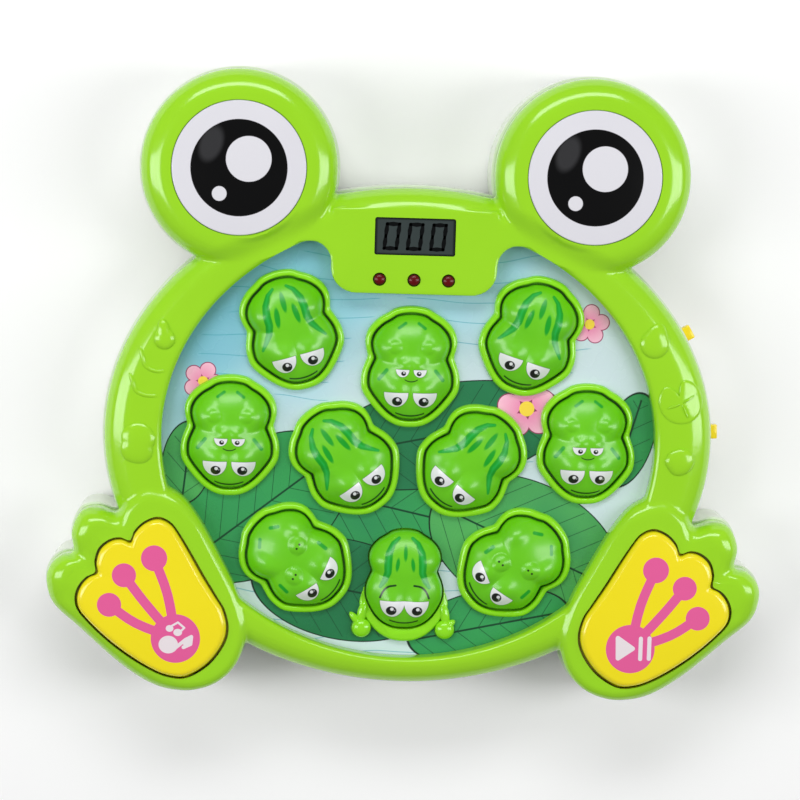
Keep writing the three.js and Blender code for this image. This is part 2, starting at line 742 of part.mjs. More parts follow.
// Frogs: a hollow cap with a flange that stops it under the deck, and a stem on its dome
const frogDomeShares = [[0.82, 0.62], [0.5, 0.93]];
function frogSolid() {
  const capTop = frogTop - deckTop - frogWallHeight;
  const wallTop = deckTop + frogWallHeight;
  const outer = turned((angle) => {
    const radius = frogAt(angle);
    return [
      [0, flangeBottom], [radius + flangeReach, flangeBottom], [radius + flangeReach, flangeTop],
      [radius, flangeTop], [radius, wallTop],
      ...frogDomeShares.map(([out, up]) => [radius * out, wallTop + capTop * up]),
      [0, frogTop],
    ];
  }, frogSides);
  const hollow = turned((angle) => {
    const radius = frogAt(angle) - wall;
    return [[0, flangeBottom - overrun], [radius, flangeBottom - overrun], [radius, wallTop],
      [radius / 2, frogTop - 2 * wall], [0, frogTop - 2 * wall]];
  }, roundSides);
  return outer.subtract(hollow).add(rod(stemRadius, stemBottom, frogTop - wall, smallSides));
}

// Rubber dome that pushes a frog or a button back up
const domeSkin = 0.8;
function domeSolid() {
  return lathe([
    [domeRadius - domeSkin, domeBottom], [domeRadius, domeBottom], [stemRadius + domeSkin, domeTop],
    [0, domeTop], [0, domeTop - domeSkin], [stemRadius, domeTop - domeSkin],
    [domeRadius - domeSkin, domeBottom],
  ], roundSides);
}

frogs.forEach((frog) => addPiece(`frog_${frog.name}`, frogSolid(), frogPlastic, frog));
frogs.forEach((frog) => addPiece(`dome_${frog.name}`, domeSolid(), greyRubber, { x: frog.x, y: frog.y }));

// Foot buttons: the same construction under a three-toed cap
function buttonSolid(side) {
  const top = footTop + buttonProud;
  const stemPlace = onFoot(side, buttonStemShares);
  const place = buttonPlace(side);
  const outer = turned((angle) => {
    const radius = side.buttonAt(angle);
    return [
      [0, buttonFlangeTop - flangeThickness], [radius + flangeReach, buttonFlangeTop - flangeThickness],
      [radius + flangeReach, buttonFlangeTop], [radius, buttonFlangeTop], [radius, top - buttonProud / 2],
      [radius - buttonProud / 2, top], [0, top],
    ];
  }, footSides, place);
  const hollow = prism((angle) => side.buttonAt(angle) - wall, buttonFlangeTop - flangeThickness - overrun,
    top - wall, frogSides, place);
  return outer.subtract(hollow).add(rod(stemRadius, stemBottom, top - wall / 2, smallSides, stemPlace));
}
const buttonNames = { left: 'music_button', right: 'play_button' };
sides.forEach((side) => addPiece(buttonNames[side.name], buttonSolid(side), yellowPlastic));
sides.forEach((side) => (
  addPiece(`dome_${buttonNames[side.name]}`, domeSolid(), greyRubber, onFoot(side, buttonStemShares))
));

// Eye discs in their recesses
const discBottom = eyeTop - discRecess + gap;
sides.forEach(({ name, sign }) => addPiece(`eye_disc_${name}`, lathe([
  [0, discBottom], [discRadius, discBottom], [discRadius, discBottom + discThickness / 2],
  [discRadius - discThickness / 2, discBottom + discThickness], [0, discBottom + discThickness],
], eyeSides), eyeWhite, { x: sign * eyeX, y: eyeY }));

// Display panel: a raised face in the window on a wider base, on the display board
const panelMargin = 1.4;
const panelSink = 0.8;
const panelShoulder = roofUnder - runningGap;
const panelBase = block(windowWidth + 2 * panelMargin, windowHeight + 2 * panelMargin, displayBoardTop + gap,
  panelShoulder, { y: windowY });
const panelFace = block(windowWidth - 2 * gap, windowHeight - 2 * gap, panelShoulder - gap,
  ringTop - panelSink, { y: windowY });
const pinHoles = displayPins.map((place) => (
  rod(stemRadius + gap, displayBoardTop, roofUnder, smallSides, place)
));
addPiece('display_panel', cut(panelBase.add(panelFace), pinHoles), darkGlass);
const displayBoardWidth = 2 * (displayPinX + stemRadius);
const displayBoardLow = tabBottom + wall + gap;
const displayBoardHigh = windowY + windowHeight / 2;
const displayBoard = block(displayBoardWidth, displayBoardHigh - displayBoardLow,
  displayBoardTop - boardThickness, displayBoardTop, { y: (displayBoardLow + displayBoardHigh) / 2 });
addPiece('display_board', displayBoard, boardGreen);

// Score lamps on the display board
const lampProud = 1.3;
const lampCrownShares = [0.7, 0.75];
const lampNames = ['left', 'middle', 'right'];
lampNames.forEach((name, i) => addPiece(`lamp_${name}`, lathe([
  [0, displayBoardTop + gap], [lampRadius, displayBoardTop + gap], [lampRadius, ringTop],
  [lampRadius * lampCrownShares[0], ringTop + lampProud * lampCrownShares[1]], [0, ringTop + lampProud],
], roundSides), redLens, { x: lampSteps[i] * lampPitch, y: lampY }));

// Boards
const boardShare = 0.88;
const mainBoard = prism((angle) => openingAt(angle) * boardShare, boardBottom, boardTop, ringSides);
addPiece('main_board', mainBoard, boardGreen);
const footBoardWidth = 24;
const footBoardLength = 20;
sides.forEach((side) => addPiece(`foot_board_${side.name}`,
  block(footBoardWidth, footBoardLength, boardBottom, boardTop), boardGreen, onFoot(side, buttonStemShares)));

// Slide switches: a body behind the wall with a slot, and a knob that runs in it
const slideDepth = 3;
const switchNames = ['volume', 'power'];
stations.forEach(({ x, y, turn }, i) => {
  const low = switchAxisHeight - switchHeight / 2;
  const high = switchAxisHeight + switchHeight / 2;
  const bodyBlock = block(switchDepth, switchWidth, low, high, { inX: -switchSetback - switchDepth / 2 });
  const channel = block(2 * slideDepth, slotWidth, knobLow - gap, knobHigh + gap, { inX: -switchSetback });
  const neck = knobProud + switchSetback + slideDepth - gap;
  const knob = block(neck, knobWidth, knobLow, knobHigh, { inX: knobProud - neck / 2 });
  addPiece(`switch_body_${switchNames[i]}`, bodyBlock.subtract(channel), blackPlastic, { x, y, turn });
  addPiece(`switch_knob_${switchNames[i]}`, knob, yellowPlastic, { x, y, turn });
});

// Loudspeaker
const speakerBottom = floorTop + gap;
const coneShare = 0.4;
const magnetShare = 0.5;
addPiece('loudspeaker', lathe([
  [0, speakerBottom + wall], [speakerRadius * coneShare, speakerBottom + wall],
  [speakerRadius - wall, speakerBottom], [speakerRadius, speakerBottom],
  [speakerRadius, speakerBottom + wall],
  [speakerRadius * magnetShare, speakerBottom + speakerHeight / 2],
  [speakerRadius * magnetShare, speakerBottom + speakerHeight], [0, speakerBottom + speakerHeight],
], 2 * roundSides), blackPlastic, speakerPlace);

// Cells side by side along Y, with a contact strip at each end
const cellPitch = cellDiameter + cellGap;
const nubRadius = 2.7;
const nubLength = 1.3;
const springRadius = 4;
[-1, 0, 1].forEach((step, i) => {
  const turn = i % 2 ? Math.PI : 0;
  const half = cellLength / 2;
  const geometry = new THREE.LatheGeometry([
    [0, -half], [cellDiameter / 2, -half], [cellDiameter / 2, half - nubLength],
    [nubRadius, half - nubLength], [nubRadius, half], [0, half],
  ].map(([x, y]) => new THREE.Vector2(x, y)), roundSides);
  geometry.rotateZ(turn);
  geometry.translate(step * cellPitch, bayY, cellAxis);
  addPiece(`cell_${i + 1}`, solidOf(geometry), cellJacket);
});
const contactBottom = floorTop + tabPocket + gap;
const contactNames = { '-1': 'contact_front', 1: 'contact_rear' };
[-1, 1].forEach((end) => {
  const faceY = bayY + end * (bayLength / 2 - gap - contactThickness / 2);
  const strip = block(bayWidth - 2 * gap, contactThickness, contactBottom, bayCeiling - gap, { y: faceY });
  const reach = springRoom - 2 * gap - contactThickness;
  const springs = [-1, 0, 1].map((step) => {
    const length = reach + contactThickness / 2;
    const geometry = new THREE.CylinderGeometry(nubRadius, springRadius, length, smallSides);
    if (end > 0) geometry.rotateZ(Math.PI);
    geometry.translate(step * cellPitch, faceY - end * length / 2, cellAxis);
    return solidOf(geometry);
  });
  addPiece(contactNames[end], joined([strip, ...springs]), steel);
});

// Battery door: hooks at the head end, a tongue with the captive screw at the other
const doorAxis = shellBottom + doorThickness / 2;
const hingeY = bayEndY - doorGap - doorThickness / 2;
const hookReach = 2;
function batteryDoor() {
  const doorStart = bayStartY + doorGap;
  const doorWidth = bayWidth - 2 * doorGap;
  const leaf = block(doorWidth, hingeY - doorStart, shellBottom, shellBottom + doorThickness,
    { y: (hingeY + doorStart) / 2 });
  const barrel = new THREE.CylinderGeometry(doorThickness / 2, doorThickness / 2, doorWidth, roundSides);
  barrel.rotateZ(Math.PI / 2);
  barrel.translate(0, hingeY, doorAxis);
  const tongue = block(tongueWidth - 2 * doorGap, tongueLength, shellBottom, shellBottom + tongueThickness,
    { y: doorStart - tongueLength / 2 + doorGap });
  const hooks = tabPlaces.flatMap((x) => [
    block(hookWidth, doorThickness, doorAxis, hookHigh, { x, y: hingeY }),
    block(hookWidth, hookReach + doorThickness, hookLow, hookHigh, { x, y: hingeY + hookReach / 2 }),
  ]);
  const headRoom = rod(screwHead, shellBottom - overrun, shellBottom + doorThickness, roundSides,
    doorScrewPlace);
  const shankRoom = rod(screwShank + gap, shellBottom, shellBottom + tongueThickness + overrun, smallSides,
    doorScrewPlace);
  return cut(joined([leaf, solidOf(barrel), tongue, ...hooks]), [headRoom, shankRoom]);
}
addPiece('battery_door', batteryDoor(), palePlastic);

// Screws: pan head below, shank up
function screw(headRadius, headHeight, seat, length, place, name) {
  addPiece(name, lathe([
    [0, seat - headHeight], [headRadius, seat - headHeight], [headRadius, seat], [screwShank, seat],
    [screwShank, seat + length], [0, seat + length],
  ], smallSides), steel, place);
}
const doorScrewHead = 1.2;
screw(screwHead - gap, doorScrewHead, shellBottom + doorThickness - gap, cellAxis - floorTop, doorScrewPlace,
  'battery_door_screw');
screwPlaces.forEach((place) => screw(screwHead, screwHeadHeight, postTop - wall - gap, screwLength, place,
  `case_screw_${place.name}`));

// Rubber pads
padPlaces.forEach((place) => addPiece(`pad_${place.name}`, rod(padRadius, 0, padHeight + padSink, roundSides),
  blackRubber, place));

// The middle of the outline comes over the origin
const lowestFoot = Math.min(...Array.from({ length: footSides }, (_, i) => {
  const angle = i / footSides * 2 * Math.PI;
  return footY + leftFootAt(angle) * Math.sin(angle);
}));
body.position.y = -(eyeY + eyeRadius + lowestFoot) / 2;

export default game;
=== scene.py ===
# %% [markdown]
# A tabletop game shaped like a frog: a green front with ten frogs to press, two printed eyes, a digit
# display and two foot buttons. This lesson makes its surfaces in Blender round a finished mechanical
# model, so each new piece takes its place from that model and rides on one of its moving bodies.

# %% Load the mechanical model
from math import atan2, cos, exp, hypot, pi, radians, sin, sqrt

import bmesh
import bpy
import numpy as np
from mathutils import Matrix, Vector


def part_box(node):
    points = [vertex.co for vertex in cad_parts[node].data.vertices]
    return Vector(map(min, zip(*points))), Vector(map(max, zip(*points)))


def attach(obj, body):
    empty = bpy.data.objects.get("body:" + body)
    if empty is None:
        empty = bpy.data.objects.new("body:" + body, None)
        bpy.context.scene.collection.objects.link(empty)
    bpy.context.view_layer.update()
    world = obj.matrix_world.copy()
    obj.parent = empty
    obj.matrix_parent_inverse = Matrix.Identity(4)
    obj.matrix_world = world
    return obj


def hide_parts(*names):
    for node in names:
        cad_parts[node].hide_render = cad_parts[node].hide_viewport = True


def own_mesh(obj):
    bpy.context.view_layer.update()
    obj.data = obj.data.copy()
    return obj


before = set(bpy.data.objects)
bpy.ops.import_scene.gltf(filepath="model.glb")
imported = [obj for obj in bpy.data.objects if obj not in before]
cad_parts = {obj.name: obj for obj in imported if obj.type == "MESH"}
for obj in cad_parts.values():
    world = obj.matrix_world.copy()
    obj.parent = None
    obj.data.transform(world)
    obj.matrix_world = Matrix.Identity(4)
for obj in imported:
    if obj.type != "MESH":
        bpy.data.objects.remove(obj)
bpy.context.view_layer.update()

mm = 0.001

# %% [markdown]
# The camera stands high above the game and a little towards its head, as a photographer's does over a
# toy that lies flat on a table. A long lens keeps the outline almost free of perspective. The camera is
# made first, because every later choice is judged through it.

# %% Camera over the table
ring_y = -21.1


def place_camera(position, target, lens, roll):
    data = bpy.data.cameras.new("table_camera")
    data.lens = lens
    data.sensor_width = 36
    camera = bpy.data.objects.new("table_camera", data)
    look = (Vector(target) - Vector(position)).normalized()
    right = look.cross(Vector((0, 1, 0))).normalized()
    turn = Matrix((right, right.cross(look), -look)).transposed().to_4x4()
    camera.matrix_world = Matrix.Translation(Vector(position) * mm) @ turn @ Matrix.Rotation(roll, 4, "Z")
    bpy.context.collection.objects.link(camera)
    bpy.context.scene.camera = camera
    return camera


camera = place_camera((-44.4, 112, 1200), (-4.1, -5.4, 40), 126.4, radians(1.7))
print("camera at", [round(v, 3) for v in camera.location])

# %% [markdown]
# Almost every part of this toy is a moulding with a closed outline seen from above: the ring is an
# ellipse, a foot has three toes, a frog has a waist. One helper can make them all. It starts from a
# circle, pushes it out to the outline, and extrudes the rim level by level.

# %% Outlines as a radius at each angle
def ellipse_radius(half_x, half_y, centre_y=0.0):
    turns = np.linspace(0, 2 * pi, 721)[:-1]
    x, y = half_x * np.cos(turns), centre_y + half_y * np.sin(turns)
    angles, radii = np.arctan2(y, x), np.hypot(x, y)
    order = np.argsort(angles)
    return lambda angle: float(np.interp(angle, angles[order], radii[order], period=2 * pi))


def smooth_run(a, b, c, d, steps):
    """Places on a smooth curve from b to c, which a and d steer."""
    t = np.linspace(0, 1, steps, endpoint=False)[:, None]
    square, cube = (2 * a - 5 * b + 4 * c - d) * t ** 2, (3 * b - a - 3 * c + d) * t ** 3
    return 0.5 * (2 * b + (c - a) * t + square + cube)


def curve_through(corners, steps=5):
    points = [np.array(corner, dtype=float) for corner in corners]
    points = [2 * points[0] - points[1]] + points + [2 * points[-1] - points[-2]]
    runs = [smooth_run(*four, steps) for four in zip(points, points[1:], points[2:], points[3:])]
    return [(float(x), float(y)) for x, y in np.vstack(runs + [points[-2]])]


def smooth_radius(corners, width, length, centre=(0.0, 0.0)):
    """The radius at each angle of a closed smooth curve through corners given as shares of a size."""
    points = (np.array(corners) - np.array(centre)) * np.array([width, length])
    curve = np.vstack([smooth_run(*(points[(i + k) % len(points)] for k in (-1, 0, 1, 2)), 20)
                       for i in range(len(points))])
    angles, radii = np.arctan2(curve[:, 1], curve[:, 0]), np.hypot(curve[:, 0], curve[:, 1])
    order = np.argsort(angles)
    return lambda angle: float(np.interp(angle, angles[order], radii[order], period=2 * pi))


def round_outline(radius):
    return lambda angle: radius


def mirrored(radius_at):
    return lambda angle: radius_at(pi - angle)


def grown(radius_at, growth):
    return lambda angle: radius_at(angle) + growth


rim_half_x, rim_half_y = 127.5, 104.5
opening_half_x, opening_half_y, opening_y = 102.5, 91.0, -1.0
rim_at = ellipse_radius(rim_half_x, rim_half_y)
opening_at = ellipse_radius(opening_half_x, opening_half_y, opening_y)
print("rim reaches", round(rim_at(0), 1), "mm sideways and", round(rim_at(pi / 2), 1), "mm up")

# %% Stacks of levels
def at(value, angle):
    return value(angle) if callable(value) else value


def stack(levels, radius_at, place=(0, 0), turn=0.0, segments=96, pole=False, form=None):
    """A closed form about Z. Each level is (share of the outline, inset in mm, height in mm)."""
    form = form or bmesh.new()
    x, y = place[0], place[1] + ring_y
    verts = bmesh.ops.create_circle(form, cap_ends=True, segments=segments, radius=1.0)["verts"]
    angles = {v: atan2(v.co.y, v.co.x) for v in verts}
    edges = list({edge for v in verts for edge in v.link_edges})
    for number, (share, inset, height) in enumerate(levels):
        if number:
            made = bmesh.ops.extrude_edge_only(form, edges=edges)["geom"]
            edges = [item for item in made if isinstance(item, bmesh.types.BMEdge)]
            verts = [item for item in made if isinstance(item, bmesh.types.BMVert)]
            angles = {v: atan2(v.co.y - y, v.co.x - x) - turn for v in verts}
        for v in verts:
            angle = angles[v]
            radius = radius_at(angle) * at(share, angle) - at(inset, angle)
            v.co = (x + cos(angle + turn) * radius, y + sin(angle + turn) * radius, at(height, angle))
    if pole:
        bmesh.ops.pointmerge(form, verts=verts, merge_co=(x, y, at(levels[-1][2], 0)))
    else:
        bmesh.ops.edgeloop_fill(form, edges=edges)
    return form


def round_over(inset, radius, top, steps=8):
    """Levels of a quarter round from a straight side to a flat top. radius may change with the angle."""
    levels = []
    for step in range(steps + 1):
        bend = step / steps * pi / 2
        levels.append((1, lambda a, b=bend: at(inset, a) + at(radius, a) * (1 - cos(b)),
                       lambda a, b=bend: top - at(radius, a) * (1 - sin(b))))
    return levels


def post(radius, bottom, top, place, segments=32):
    return stack([(1, 0, bottom), (1, 0, top)], round_outline(radius), place, segments=segments)


def turned(profile, place, segments, pole=False):
    """A round form, as on a lathe, from pairs of a radius and a height."""
    return stack([(0, -radius, height) for radius, height in profile], round_outline(1.0), place,
                 segments=segments, pole=pole)


def block(low, high, form=None, turn=0.0, about=(0, 0)):
    """A box between two corners, then turned about an upright axis."""
    form = form or bmesh.new()
    size = [b - a for a, b in zip(low, high)]
    middle = [(a + b) / 2 for a, b in zip(low, high)]
    swing = Matrix.Translation((about[0], about[1], 0)) @ Matrix.Rotation(turn, 4, "Z")
    place = swing @ Matrix.Translation(middle) @ Matrix.Diagonal((*size, 1))
    bmesh.ops.create_cube(form, size=1.0, matrix=place)
    return form


def round_edges(form, edges, radius, segments):
    bmesh.ops.bevel(form, geom=edges, offset=radius, segments=segments, profile=0.5, affect="EDGES",
                    material=-1)
    return form


def round_uprights(form, radius, segments, below=1e6):
    """Rounds the upright edges of a block whose y is below a limit."""
    uprights = [e for e in form.edges
                if abs(e.verts[0].co.z - e.verts[1].co.z) > 1 and e.verts[0].co.y < below]
    return round_edges(form, uprights, radius, segments)


print("a stack of", len(round_over(0, 10, 45.8)), "levels rounds an edge")

# %% [markdown]
# A boolean joins or cuts two closed forms, and a voxel remesh melts several overlapping forms into one
# skin, as a mould maker blends them in clay. Both are modifiers, so a helper applies each of them at
# once and the next step starts from a plain mesh.

# %% Workbench helpers
def on_bench(form, name="bench"):
    bmesh.ops.recalc_face_normals(form, faces=form.faces)
    mesh = bpy.data.meshes.new(name)
    form.to_mesh(mesh)
    form.free()
    piece = bpy.data.objects.new(name, mesh)
    bpy.context.collection.objects.link(piece)
    return piece


def settle(piece):
    graph = bpy.context.evaluated_depsgraph_get()
    mesh = bpy.data.meshes.new_from_object(piece.evaluated_get(graph))
    old = piece.data
    piece.modifiers.clear()
    piece.data = mesh
    bpy.data.meshes.remove(old)
    return piece


def combine(piece, tool, operation="DIFFERENCE"):
    """Cuts a piece with a tool piece, or joins them. The tool is used up."""
    step = piece.modifiers.new("step", "BOOLEAN")
    step.operation = operation
    step.solver = "MANIFOLD"
    step.object = tool
    before = len(piece.data.vertices)
    settle(piece)
    bpy.data.objects.remove(tool)
    if len(piece.data.vertices) == before:
        print("no change from a boolean on", piece.name)
    return piece


def boolean(piece, form, operation="DIFFERENCE"):
    return combine(piece, on_bench(form, "tool"), operation)


def join(piece, *others):
    """Several pieces become one mesh, and keep their own skins."""
    with bpy.context.temp_override(active_object=piece, selected_editable_objects=[piece, *others]):
        bpy.ops.object.join()


def melt(piece, voxel, smooth, keep):
    """Overlapping forms become one skin, whose creases are softened and whose mesh is thinned."""
    step = piece.modifiers.new("skin", "REMESH")
    step.mode = "VOXEL"
    step.voxel_size = voxel
    step = piece.modifiers.new("soften", "SMOOTH")
    step.factor = 0.5
    step.iterations = smooth
    step = piece.modifiers.new("thin", "DECIMATE")
    step.ratio = keep
    return settle(piece)


def as_piece(piece, name, finish, body="case", stands_for=(), sharp=35):
    """Scales the mesh from millimetres to metres, shades it and hands it to the frame."""
    piece.name = name
    piece.data.name = name
    piece.data.transform(Matrix.Scale(mm, 4))
    piece.data.materials.clear()
    piece.data.materials.append(finish)
    piece.data.shade_smooth()
    piece.data.set_sharp_from_angle(angle=radians(sharp))
    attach(piece, body)
    if stands_for:
        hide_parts(*stands_for)
    print(name, len(piece.data.polygons), "faces")
    return piece


def node_corners(node):
    """The lowest and highest corners of a mechanical node at rest, in millimetres."""
    low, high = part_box(node)
    return low / mm, high / mm


print("the mechanical tray ends", round(node_corners("back_shell")[1].z, 1), "mm over the table")

# %% [markdown]
# Finishes come next. A moulded plastic is never one flat colour: the pigment drifts a little, the gloss
# changes with the flow of the melt, and a fine texture breaks up the reflections. All of that is worked
# out by nodes from the place on the object.

# %% Colours and node helpers
def tint(red, green, blue):
    """A screen colour from 0 to 255 as the linear colour that nodes use."""
    linear = [c / 255 / 12.92 if c / 255 <= 0.04045 else ((c / 255 + 0.055) / 1.055) ** 2.4
              for c in (red, green, blue)]
    return (*linear, 1.0)


class Reading:
    """A number that nodes work out at each point of a surface. Sums with it add Math nodes."""

    def __init__(self, tree, socket):
        self.tree, self.socket = tree, socket

    def work(self, operation, *others):
        step = self.tree.nodes.new("ShaderNodeMath")
        step.operation = operation
        for slot, value in zip(step.inputs, (self, *others)):
            if isinstance(value, Reading):
                self.tree.links.new(value.socket, slot)
            else:
                slot.default_value = value
        return Reading(self.tree, step.outputs[0])

    def __add__(self, other):
        return self.work("ADD", other)

    def __sub__(self, other):
        return self.work("SUBTRACT", other)

    def __mul__(self, other):
        return self.work("MULTIPLY", other)

    def __rsub__(self, other):
        return self * -1.0 + other

    def __truediv__(self, other):
        return self.work("DIVIDE", other)

    def __abs__(self):
        return self.work("ABSOLUTE")

    def nearest(self, other):
        return self.work("MINIMUM", other)

    def farthest(self, other):
        return self.work("MAXIMUM", other)

    def inside(self, soft=0.15):
        """1 where the reading is below zero, 0 above, with an edge that is soft mm wide."""
        step = self.tree.nodes.new("ShaderNodeMapRange")
        step.interpolation_type = "SMOOTHSTEP"
        step.inputs["From Min"].default_value = soft / 2
        step.inputs["From Max"].default_value = -soft / 2
        self.tree.links.new(self.socket, step.inputs["Value"])
        return Reading(self.tree, step.outputs["Result"])

    def spread(self, low, high):
        """The reading, taken as 0 to 1, stretched between two values."""
        step = self.tree.nodes.new("ShaderNodeMapRange")
        step.inputs["To Min"].default_value = low
        step.inputs["To Max"].default_value = high
        self.tree.links.new(self.socket, step.inputs["Value"])
        return Reading(self.tree, step.outputs["Result"])


class Canvas:
    """A material that is painted in layers, with x, y and z readings in millimetres."""

    def __init__(self, name, attribute=None):
        self.finish = bpy.data.materials.new(name)
        self.finish.use_nodes = True
        self.tree = self.finish.node_tree
        self.shader = self.tree.nodes["Principled BSDF"]
        self.object_place = self.tree.nodes.new("ShaderNodeTexCoord").outputs["Object"]
        place = self.object_place
        if attribute:
            source = self.tree.nodes.new("ShaderNodeAttribute")
            source.attribute_name = attribute
            place = source.outputs["Vector"]
        parts = self.tree.nodes.new("ShaderNodeSeparateXYZ")
        self.tree.links.new(place, parts.inputs[0])
        readings = [Reading(self.tree, out) for out in parts.outputs]
        self.x, self.y, self.z = readings if attribute else [reading * 1000.0 for reading in readings]

    def noise(self, size, detail=2.0, seed=0.0):
        """Cloudy noise from 0 to 1 whose blotches are about size mm wide."""
        step = self.tree.nodes.new("ShaderNodeTexNoise")
        step.noise_dimensions = "4D"
        step.inputs["W"].default_value = seed
        step.inputs["Scale"].default_value = 1000.0 / size
        step.inputs["Detail"].default_value = detail
        self.tree.links.new(self.object_place, step.inputs["Vector"])
        return Reading(self.tree, step.outputs[0])

    def colour_between(self, first, second, share):
        step = self.tree.nodes.new("ShaderNodeMix")
        step.data_type = "RGBA"
        for slot, value in ((step.inputs[6], first), (step.inputs[7], second)):
            if isinstance(value, bpy.types.NodeSocket):
                self.tree.links.new(value, slot)
            else:
                slot.default_value = value
        self.tree.links.new(share.socket, step.inputs[0])
        return step.outputs[2]

    def base(self, socket):
        self.colour = socket
        self.tree.links.new(socket, self.shader.inputs["Base Color"])

    def paint(self, colour, mask):
        """Another layer of paint where the mask is 1."""
        self.base(self.colour_between(self.colour, colour, mask))

    def gloss(self, low, high, size=4.0):
        drift = self.noise(size, seed=3.0).spread(low, high)
        self.tree.links.new(drift.socket, self.shader.inputs["Roughness"])

    def texture(self, height, depth):
        """A bump of so many millimetres from a height between 0 and 1."""
        step = self.tree.nodes.new("ShaderNodeBump")
        step.inputs["Strength"].default_value = 1.0
        step.inputs["Distance"].default_value = depth * mm
        self.tree.links.new(height.socket, step.inputs["Height"])
        self.tree.links.new(step.outputs["Normal"], self.shader.inputs["Normal"])

    def set(self, socket, value):
        self.shader.inputs[socket].default_value = value

    def coat(self, weight, roughness=0.05):
        self.set("Coat Weight", weight)
        self.set("Coat Roughness", roughness)

    def circle(self, x, y, radius, across=None):
        """The distance to a circle, below zero inside it. across stands in for the x reading."""
        dx, dy = (across or self.x) - x, self.y - y
        return (dx * dx + dy * dy).work("SQRT") - radius

    def oval(self, x, y, half_x, half_y, turn=0.0):
        dx, dy = self.x - x, self.y - y
        along = (dx * cos(turn) + dy * sin(turn)) / half_x
        across = (dy * cos(turn) - dx * sin(turn)) / half_y
        return ((along * along + across * across).work("SQRT") - 1.0) * min(half_x, half_y)

    def stroke(self, start, end, half, x=None):
        """The distance to a straight pen stroke with round ends."""
        x = x or self.x
        run = (end[0] - start[0], end[1] - start[1])
        dx, dy = x - start[0], self.y - start[1]
        part = (dx * run[0] + dy * run[1]) / (run[0] ** 2 + run[1] ** 2)
        part = part.nearest(1.0).farthest(0.0)
        ox, oy = dx - part * run[0], dy - part * run[1]
        return (ox * ox + oy * oy).work("SQRT") - half

    def strokes(self, points, half, x=None):
        runs = [self.stroke(a, b, half, x) for a, b in zip(points, points[1:])]
        nearest = runs[0]
        for run in runs[1:]:
            nearest = nearest.nearest(run)
        return nearest


def blotched(name, first, second, size, detail=2.0, attribute=None):
    """A canvas whose colour drifts between two, in blotches about size mm wide."""
    canvas = Canvas(name, attribute)
    canvas.base(canvas.colour_between(first, second, canvas.noise(size, detail)))
    return canvas


def moulded(name, light, deep, roughness=(0.12, 0.22), blotch=45.0, grain=0.01):
    canvas = blotched(name, light, deep, blotch, 3.0)
    canvas.gloss(*roughness)
    canvas.texture(canvas.noise(0.8, 3.0, 7.0), grain)
    canvas.coat(0.3)
    return canvas


lime = moulded("lime_gloss", tint(156, 218, 32), tint(146, 208, 26)).finish
pale = moulded("pale_shell_satin", tint(230, 238, 222), tint(220, 230, 210), (0.3, 0.42), grain=0.03).finish
collar_green = moulded("collar_gloss", tint(146, 226, 30), tint(134, 216, 24), (0.1, 0.2)).finish
yellow = moulded("knob_yellow", tint(250, 226, 30), tint(243, 214, 20), (0.18, 0.28)).finish
print("plastics:", lime.name, pale.name, collar_green.name, yellow.name)

# %% [markdown]
# The green front is one injection moulding: a ring with a strongly rounded outside, two eye lobes, two
# three-toed feet and a tab for the display. It could be modelled as one subdivision cage, but the soft
# creases where the forms meet are easier to get by melting simple rounded forms together with voxels.

# %% Outlines of the feet and places of the forms
foot_corners = [
    (0.006, 0.5), (-0.099, 0.442), (-0.158, 0.353), (-0.257, 0.374), (-0.336, 0.35),
    (-0.38, 0.254), (-0.37, 0.158), (-0.424, 0.142), (-0.479, 0.095), (-0.5, 0.02),
    (-0.465, -0.092), (-0.336, -0.207), (-0.138, -0.372), (0.035, -0.474), (0.18, -0.5),
    (0.283, -0.485), (0.362, -0.45), (0.424, -0.398), (0.47, -0.325), (0.5, -0.215), (0.486, -0.12),
    (0.44, 0.008), (0.347, 0.182), (0.248, 0.344), (0.147, 0.452),
]
foot_width, foot_length = 85.6, 89.2
eye_radius, front_inset = 41.5, 0.9
eye_lap, foot_lap = 19.6, 37.4
left_foot_at = smooth_radius(foot_corners, foot_width, foot_length)
foot_at = {-1: left_foot_at, 1: mirrored(left_foot_at)}
eye_turn, foot_turn = radians(56.5), radians(-31.1)
eye_reach = rim_at(eye_turn) + eye_radius - eye_lap
foot_reach = rim_at(-foot_turn) + foot_width / 2 - foot_lap
eye_place = {side: (side * eye_reach * cos(eye_turn), eye_reach * sin(eye_turn)) for side in (-1, 1)}
foot_place = {side: (side * foot_reach * cos(foot_turn), foot_reach * sin(foot_turn)) for side in (-1, 1)}
print("eye at", [round(v, 1) for v in eye_place[1]], "foot at", [round(v, 1) for v in foot_place[1]])

# %% Places by shares of a foot
def on_foot(side, share):
    return (side * (foot_reach * cos(foot_turn) - share[0] * foot_width),
            foot_place[side][1] + share[1] * foot_length)


print("a foot's middle is at", [round(v, 1) for v in on_foot(1, (0, 0))])

# %% Ring with its opening
front_low, ring_top, eye_top, foot_top = 31.3, 45.8, 50.1, 47.3
start = front_low - 3


def straight_then_round(inset, radius, top):
    return [(1, inset, start), (1, inset, lambda a: top - at(radius, a))] + round_over(inset, radius, top)[1:]


front = on_bench(stack(straight_then_round(front_inset, 10, ring_top), rim_at, segments=240), "front")
inner_round = 2.2
flare = [(1, 0, start - 3)]
for step in range(5):
    bend = step / 4 * pi / 2
    flare.append((1, -inner_round * (1 - cos(bend)), ring_top + inner_round * (sin(bend) - 1)))
flare.append((1, -inner_round - 1, ring_top + 3))
boolean(front, stack(flare, opening_at, segments=240))
print("ring", len(front.data.polygons), "faces")

